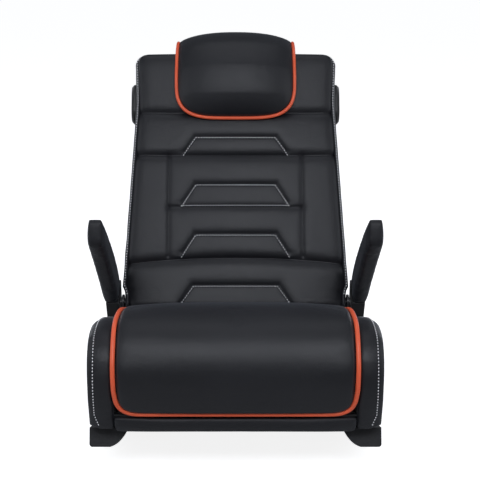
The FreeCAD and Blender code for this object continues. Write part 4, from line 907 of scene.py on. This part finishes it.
def face_height(x, s):
    """How far the cover stands in front of the hinge axis, over width and height."""
    front = FACE_FRONT - FACE_CROWN * (x / HALF_W_HIP) ** 2
    swell = np.full_like(x, PANEL_SWELL)
    for number, (level, half, depth, reach) in enumerate(SEAMS):
        beyond = np.maximum(np.abs(x) - half, 0.0)
        gap = np.hypot(s - level(x), beyond)
        swell -= tuck(gap, depth, reach)
        pucker = ripple(x, 11 + number, 5, 0.016, 0.045)
        swell += PUCKER * pucker * np.exp(-gap / 0.016) * (1 - np.exp(-gap / 0.003))
    for sign in (-1.0, 1.0):
        low, high = (sign * SEAM_SIDE_X, SEAM_LUMBAR + 0.004), (sign * SEAM_SIDE_X, SEAM_SHOULDER)
        gap = to_segment(x, s, low, high)
        swell -= tuck(gap, *SIDE_SEAM)
        swell += EDGE_PUCKER * ripple(s, 31 + int(sign), 5, 0.016, 0.045) * np.exp(-gap / 0.014)
    for foot, top, low_w, high_w in TRAPEZOIDS:
        level = (s - foot) / (top - foot)
        half = low_w + (high_w - low_w) * np.clip(level, 0.0, 1.0)
        inside = (level > 0) & (level < 1) & (np.abs(x) < half)
        gap = np.minimum(to_segment(x, s, (-high_w, top), (high_w, top)),
                         np.minimum(to_segment(x, s, (-low_w, foot), (-high_w, top)),
                                    to_segment(x, s, (low_w, foot), (high_w, top))))
        fade = np.clip(level * 4.0, 0.0, 1.0) if foot > 0 else np.ones_like(x)
        drawn = np.where(inside, tuck(gap, 0.0022, 0.0022), tuck(gap, *TRAPEZOID_EDGE))
        swell -= drawn * np.maximum(fade, 0.25)
        swell += np.where(inside, TRAPEZOID_RISE * (1 - np.exp(-gap / 0.006)), 0.0)
    edge = np.maximum(back_half_w(s) - FACE_INSET - np.abs(x), 0.0)
    swell -= tuck(edge, *OUTER_EDGE)
    swell += EDGE_PUCKER * ripple(s, 51, 6, 0.018, 0.05) * np.exp(-edge / 0.014)
    swell -= tuck(np.maximum(FACE_TOP - s, 0.0), *TOP_EDGE)
    corner = (np.clip((np.abs(x) - 0.165) / EAR_CORNER, 0, 1) ** 2
              * np.clip((EAR_CORNER - s) / EAR_CORNER, 0, 1))
    lean = TOP_LEAN * np.clip((s - SEAM_TOP) / 0.15, 0.0, 1.0)
    return front + swell + lean - 0.004 * corner


def face_places(x, s, height):
    """Places on the cover at a height off the hinge axis. Its foot is rolled round that axis."""
    turn = np.clip(-s / FACE_FRONT, 0.0, ROLL_TURN)
    return np.column_stack([x, -height * np.cos(turn), np.maximum(s, 0.0) - height * np.sin(turn)])


def back_face():
    low = -FACE_FRONT * ROLL_TURN
    rows = int((FACE_TOP - low) / GRID) + 1
    columns = int(2 * HALF_W_HIP / GRID) + 1
    s = np.repeat(np.linspace(low, FACE_TOP, rows), columns)
    u = np.tile(np.linspace(-1.0, 1.0, columns), rows)
    over = np.clip(s - (FACE_TOP - FACE_CORNER_R), 0.0, FACE_CORNER_R)
    half = (back_half_w(s) - FACE_INSET - FACE_CORNER_R
            + np.sqrt(np.maximum(FACE_CORNER_R ** 2 - over ** 2, 0.0)))
    x = u * half
    mesh = sheet_mesh("back_face", face_places(x, s, face_height(x, s)), quads(rows, columns))
    form = bmesh.new()
    form.from_mesh(mesh)
    rim = [e for e in form.edges if e.is_boundary]
    grown_rim = bmesh.ops.extrude_edge_only(form, edges=rim)["geom"]
    for vert in (v for v in grown_rim if isinstance(v, bmesh.types.BMVert)):
        if vert.co.z > 0.012:
            vert.co.y = FACE_REAR
        else:
            vert.co.y, vert.co.z = max(vert.co.y * 0.5, vert.co.y + 0.008), vert.co.z * 0.55
    bmesh.ops.holes_fill(form, edges=[e for e in form.edges if e.is_boundary])
    bmesh.ops.recalc_face_normals(form, faces=form.faces)
    form.to_mesh(mesh)
    form.free()
    set_points(mesh, reclined(points_of(mesh)))
    return dressed(mesh, black_leather)


face = make_piece("back_face", back_face(), "backrest", "black_leather", "top_band", "shoulder_panel",
                  "centre_upper_panel", "centre_lower_panel", "lumbar_panel", "wing_panel_left",
                  "wing_panel_right")


# Stitching on the backrest face: round the top and the sides of each trapezoid, and along the middle seam.
# The thread lies half sunk in the cover.
ROW_STEP = 0.002


def along_face(points):
    """Row of points on the cover, from width and height."""
    raw = np.array(points, dtype=float)
    run = lengths_along(raw)
    even = np.arange(0.0, run[-1], ROW_STEP)
    x, s = np.interp(even, run, raw[:, 0]), np.interp(even, run, raw[:, 1])
    return reclined(face_places(x, s, face_height(x, s) + THREAD_R * 0.9))


STITCH_INSET = 0.0024
FOOT_INSET = STITCH_INSET * 1.3
TOP_INSET = STITCH_INSET * 0.8
MIDDLE_ROW_X = -SEAM_SIDE_X + 0.030
MIDDLE_ROW_Z = SEAM_MIDDLE + 0.003
rows = []
for foot, top, low_w, high_w in TRAPEZOIDS:
    rows.append(along_face([(-low_w + FOOT_INSET, foot + 0.002), (-high_w + TOP_INSET, top - STITCH_INSET),
                            (high_w - TOP_INSET, top - STITCH_INSET), (low_w - FOOT_INSET, foot + 0.002)]))
rows.append(along_face([(MIDDLE_ROW_X, MIDDLE_ROW_Z), (-MIDDLE_ROW_X, MIDDLE_ROW_Z)]))
sew("back_face_stitches", rows, "backrest", "black_leather")


# Boxing and rear of the backrest: a strip of leather round the sides and the top, and a flat rear panel with
# the bass opening. Both are lined, and the strip is topstitched beside its front seam.
BOXING_PROFILE = (
    # inset from the outline, depth behind the hinge axis
    (0.0092, -0.0105), (0.0088, -0.0145), (0.0070, -0.0172), (0.0042, -0.0168), (0.0018, -0.0130),
    (0.0004, -0.0060), (-0.0008, 0.0060), (-0.0012, 0.0250), (-0.0010, 0.0480), (0.0002, 0.0640),
    (0.0030, 0.0745), (0.0075, 0.0805), (0.0125, 0.0835), (0.0150, 0.0830), (0.0160, 0.0815),
)
REAR_INSET = 0.0160
REAR_DEPTH = 0.0812
REAR_PUFF = 0.0030
REAR_ROWS = 111
REAR_COLUMNS = 91
BACK_LOW = -0.012
BOXING_PUFF = 0.0008
LINING = 0.0022
CUTTER_LENGTH = 0.05
rear_leather = leather("black_leather_rear", rough=0.5, crease=0.0016)


def back_outline(inset):
    """Points along both sides and the top, at an inset, from the foot at -X to the foot at +X."""
    r = BACK_CORNER_R - inset
    side = [(back_half_w(s) - inset, s) for s in np.linspace(BACK_LOW, BACK_TOP - BACK_CORNER_R, 60)]
    middle = (HALF_W_TOP - BACK_CORNER_R, BACK_TOP - BACK_CORNER_R)
    corner = [(middle[0] + r * math.cos(a), middle[1] + r * math.sin(a))
              for a in np.linspace(0.0, math.pi / 2, 12)[1:]]
    right = side + corner
    top = [(x, BACK_TOP - inset) for x in np.linspace(-middle[0], middle[0], 50)[1:-1]]
    return [(-x, s) for x, s in right] + top + right[::-1]


def back_boxing():
    rings = []
    for k, (inset, depth) in enumerate(BOXING_PROFILE):
        ring = np.array([(x, depth, s) for x, s in back_outline(inset)])
        along = np.arange(len(ring)) * 0.01
        share = k / (len(BOXING_PROFILE) - 1)
        puff = BOXING_PUFF * math.sin(math.pi * share) * ripple(along, 71, 6, 0.05, 0.16)
        ring[:, 0] += np.sign(ring[:, 0]) * puff * (np.abs(ring[:, 0]) > 0.2)
        rings.append(ring)
    return sheet_mesh("back_boxing", reclined(np.concatenate(rings)), quads(len(rings), len(rings[0])))


def rear_sheet():
    places = []
    for level in np.linspace(BACK_LOW, BACK_TOP - REAR_INSET, REAR_ROWS):
        half = float(back_half_w(level)) - REAR_INSET
        over = level - (BACK_TOP - BACK_CORNER_R)
        r = BACK_CORNER_R - REAR_INSET
        if over > 0:
            half += -r + math.sqrt(max(r ** 2 - over ** 2, 0.0))
        for u in np.linspace(-1.0, 1.0, REAR_COLUMNS):
            x = u * half
            edge = min(half - abs(x), BACK_TOP - REAR_INSET - level)
            places.append((x, REAR_DEPTH + REAR_PUFF * (1 - math.exp(-max(edge, 0.0) / 0.008)), level))
    faces = [(a, d, c, b) for a, b, c, d in quads(REAR_ROWS, REAR_COLUMNS)]
    return sheet_mesh("back_rear", reclined(np.array(places)), faces)


def cutter(middle, way, radius):
    """A round bar used to cut an opening, placed in the upright frame."""
    form = bmesh.new()
    bmesh.ops.create_cone(form, cap_ends=True, segments=64, radius1=radius, radius2=radius,
                          depth=CUTTER_LENGTH)
    mesh = bpy.data.meshes.new("cutter")
    form.to_mesh(mesh)
    form.free()
    turn = Vector((0, 0, 1)).rotation_difference(Vector(way)).to_matrix()
    places = np.array([tuple(turn @ v.co + Vector(middle)) for v in mesh.vertices])
    set_points(mesh, reclined(places))
    return linked("cutter", mesh)


def lined(mesh, name, openings):
    """Gives a sheet its lining and cuts its openings."""
    holder = linked(name, mesh)
    wall = holder.modifiers.new("lining", "SOLIDIFY")
    wall.thickness = LINING
    wall.offset = -1.0
    for tool in openings:
        cut = holder.modifiers.new("opening", "BOOLEAN")
        cut.object = tool
        cut.solver = "EXACT"
    result = evaluated(holder)
    for tool in openings:
        bpy.data.objects.remove(tool)
    return dressed(result, rear_leather)


UPPER_SPEAKERS = ((-0.236, 0.041, 0.482), (0.236, 0.041, 0.482))
UPPER_SPEAKER_R = 0.0276
WOOFER = (0.0, 0.083, 0.250)
WOOFER_R = 0.0664
side_holes = [cutter(middle, (1, 0, 0), UPPER_SPEAKER_R) for middle in UPPER_SPEAKERS]
boxing = make_piece("back_boxing", lined(back_boxing(), "back_boxing", side_holes), "backrest",
                    "black_leather", "back_cover")
woofer_hole = cutter(WOOFER, (0, 1, 0), WOOFER_R)
rear = make_piece("back_rear", lined(rear_sheet(), "back_rear", [woofer_hole]), "backrest", "black_leather")

SIDE_ROW_INSET = 0.0052
SIDE_ROW_DEPTH = -0.0172
side_row = np.array([(x, SIDE_ROW_DEPTH - THREAD_R, s) for x, s in back_outline(SIDE_ROW_INSET)])
sew("back_side_stitches", [reclined(side_row[3:-3])], "backrest", "black_leather")


# Foam of the backrest, inside its cover: pale open-cell foam.
def open_foam():
    material, tree, place = skin("open_cell_foam")
    tint = blended(tree, noise(tree, place, 20.0), (0.50, 0.49, 0.42), (0.62, 0.60, 0.52))
    finished(tree, tint, 0.95, bumped(tree, 0.8, 0.0008, cells(tree, place, 420.0)))
    return material


FOAM_EDGE = 0.002
foam = make_piece("back_foam_block", softened("back_foam", FOAM_EDGE, open_foam()), "backrest", "foam",
                  "back_foam")


# Headrest pillow: a stuffed leather cushion that lies over the top edge, with bright piping round its face.
# Its front is plain.
PILLOW_LINE = ((-0.0385, 0.4300), (-0.0455, 0.480), (-0.0470, 0.540), (-0.0370, 0.590), (-0.0160, 0.619),
               (0.004, 0.6235), (0.019, 0.608), (0.018, 0.5925))
# half the width and the height of the dome, by the length along the line
PILLOW_W_AT = ((0.0, 0.05, 0.11, 0.17, 0.25, 0.30), (0.1350, 0.1352, 0.1350, 0.1340, 0.1300, 0.1280))
PILLOW_DOME_AT = ((0.0, 0.05, 0.11, 0.16, 0.20, 0.235, 0.26, 0.30),
                  (0.026, 0.037, 0.042, 0.036, 0.026, 0.020, 0.012, 0.004))
PILLOW_ROWS = 91
PILLOW_COLUMNS = 81
PILLOW_SAG = 0.085
PILLOW_ROLL = 0.075
PILLOW_PUCKER = 0.0006
PILLOW_SWELL = 0.003
PILLOW_BACK_W = 0.97
PILLOW_BACK_Y = -0.0300
PILLOW_SEAT_Z = 0.5905


def pillow_start(u):
    """How far up its side the lower seam stands: the pillow's lower edge is a wide U."""
    return PILLOW_SAG * (1 - (1 - np.minimum(np.abs(u), 1.0) ** 4) ** (1 / 3))


def pillow_cover():
    """The pillow's cover: a dome on its seam line, with a back that follows the backrest."""
    line = bent_line(PILLOW_LINE)
    length = on_line(line, np.zeros(1))[2]
    u = np.sin(np.linspace(-1.0, 1.0, PILLOW_COLUMNS) * math.pi / 2)[None, :] * np.ones((PILLOW_ROWS, 1))
    v = np.linspace(0.0, 1.0, PILLOW_ROWS)[:, None] * np.ones((1, PILLOW_COLUMNS))
    start = pillow_start(u)
    s = start + v * (length - start)
    x = u * np.interp(s, *PILLOW_W_AT)
    place, way, _ = on_line(line, s)
    rise = np.sqrt(1 - (1 - np.clip((s - start) / PILLOW_ROLL, 0.0, 1.0)) ** 2.2)
    dome = np.interp(s, *PILLOW_DOME_AT) * (1 - np.abs(u) ** 2.3) ** 0.68 * rise
    dome += PILLOW_PUCKER * ripple(x, 81, 6, 0.02, 0.06) * rise * np.exp(-np.clip(s - start, 0, 1) / 0.05)
    front = raised(x, place, way, dome)
    above = place[..., 1] > PILLOW_SEAT_Z
    behind = np.where(above, np.maximum(place[..., 0], PILLOW_BACK_Y), PILLOW_BACK_Y)
    back = np.stack([x * PILLOW_BACK_W, behind, np.where(above, PILLOW_SEAT_Z, place[..., 1])], axis=-1)
    mesh = shell_between("pillow_cushion", front, back)
    held = np.ones(len(mesh.vertices))
    held[:front.shape[0] * front.shape[1]] = np.clip(1.1 - dome.ravel() / 0.02, 0.0, 1.0)
    mesh = refined(inflated(mesh, PILLOW_SWELL, HELD_PRESSURE, held))
    set_points(mesh, reclined(points_of(mesh)))
    return dressed(mesh, black_leather)


pillow = make_piece("pillow_cushion", pillow_cover(), "backrest", "black_leather", "headrest_pillow")


PILLOW_PIPING_R = 0.0040
PILLOW_PIPING_OUT = 0.0030
PILLOW_PIPING_END = 0.213


def pillow_piping():
    side = [(-float(np.interp(s, *PILLOW_W_AT)) - PILLOW_PIPING_OUT, s)
            for s in np.linspace(PILLOW_PIPING_END, PILLOW_SAG, 18)]
    low = [(float(u) * (PILLOW_W_AT[1][0] + PILLOW_PIPING_OUT), float(pillow_start(u)) - PILLOW_PIPING_OUT)
           for u in np.sin(np.linspace(-1.0, 0.0, 26) * math.pi / 2)[1:]]
    seam = mirrored(side + low)
    return reclined(np.column_stack([seam[:, 0], on_line(bent_line(PILLOW_LINE), seam[:, 1])[0]]))


make_piece("pillow_piping_cord", tube_mesh("pillow_piping_cord", pillow_piping(), PILLOW_PIPING_R),
           "backrest", "orange_piping", "headrest_piping")


# Loudspeakers: moulded grilles on the sides and the rear, each with a paper cone behind its slots.
def speaker_paper():
    material, tree, place = skin("speaker_paper")
    pulp = noise(tree, place, 300.0, 4.0)
    tint = blended(tree, pulp, (0.018, 0.018, 0.019), (0.045, 0.044, 0.042))
    finished(tree, tint, 0.8, bumped(tree, 0.5, 0.0003, pulp))
    return material


SPEAKER_PLASTIC = (0.012, 0.012, 0.013)
WOOFER_BOARD = (0.06, 0.045, 0.032)
SPEAKERS = ("upper_%s_left", "upper_%s_right", "lower_%s_left", "lower_%s_right", "woofer_%s")
finish_nodes(moulded("speaker_plastic", SPEAKER_PLASTIC, 0.42, 0.0002, 700.0, 0.15),
             *(name % "grille" for name in SPEAKERS))
finish_nodes(speaker_paper(), *(name % "driver" for name in SPEAKERS))
finish_nodes(moulded("woofer_board", WOOFER_BOARD, 0.75, 0.0003, 180.0, 0.4), "woofer_box")


# Controls on the sitter's right: a satin plate with three knobs, a power button and a row of sockets. The
# amplifier's coated case stands on the bottom board.
SATIN_PLASTIC = (0.010, 0.010, 0.011)
KNOB_PLASTIC = (0.016, 0.016, 0.017)
finish_nodes(moulded("satin_plastic", SATIN_PLASTIC, 0.30, 0.00012, 900.0, 0.1),
             "faceplate", "control_housing", "power_switch")
finish_nodes(moulded("knob_plastic", KNOB_PLASTIC, 0.38, 0.00015, 900.0, 0.2),
             "volume_knob", "bass_knob", "treble_knob", "power_button")
finish_nodes(bright_zinc, "audio_jacks")
finish_nodes(coated_steel, "amplifier")
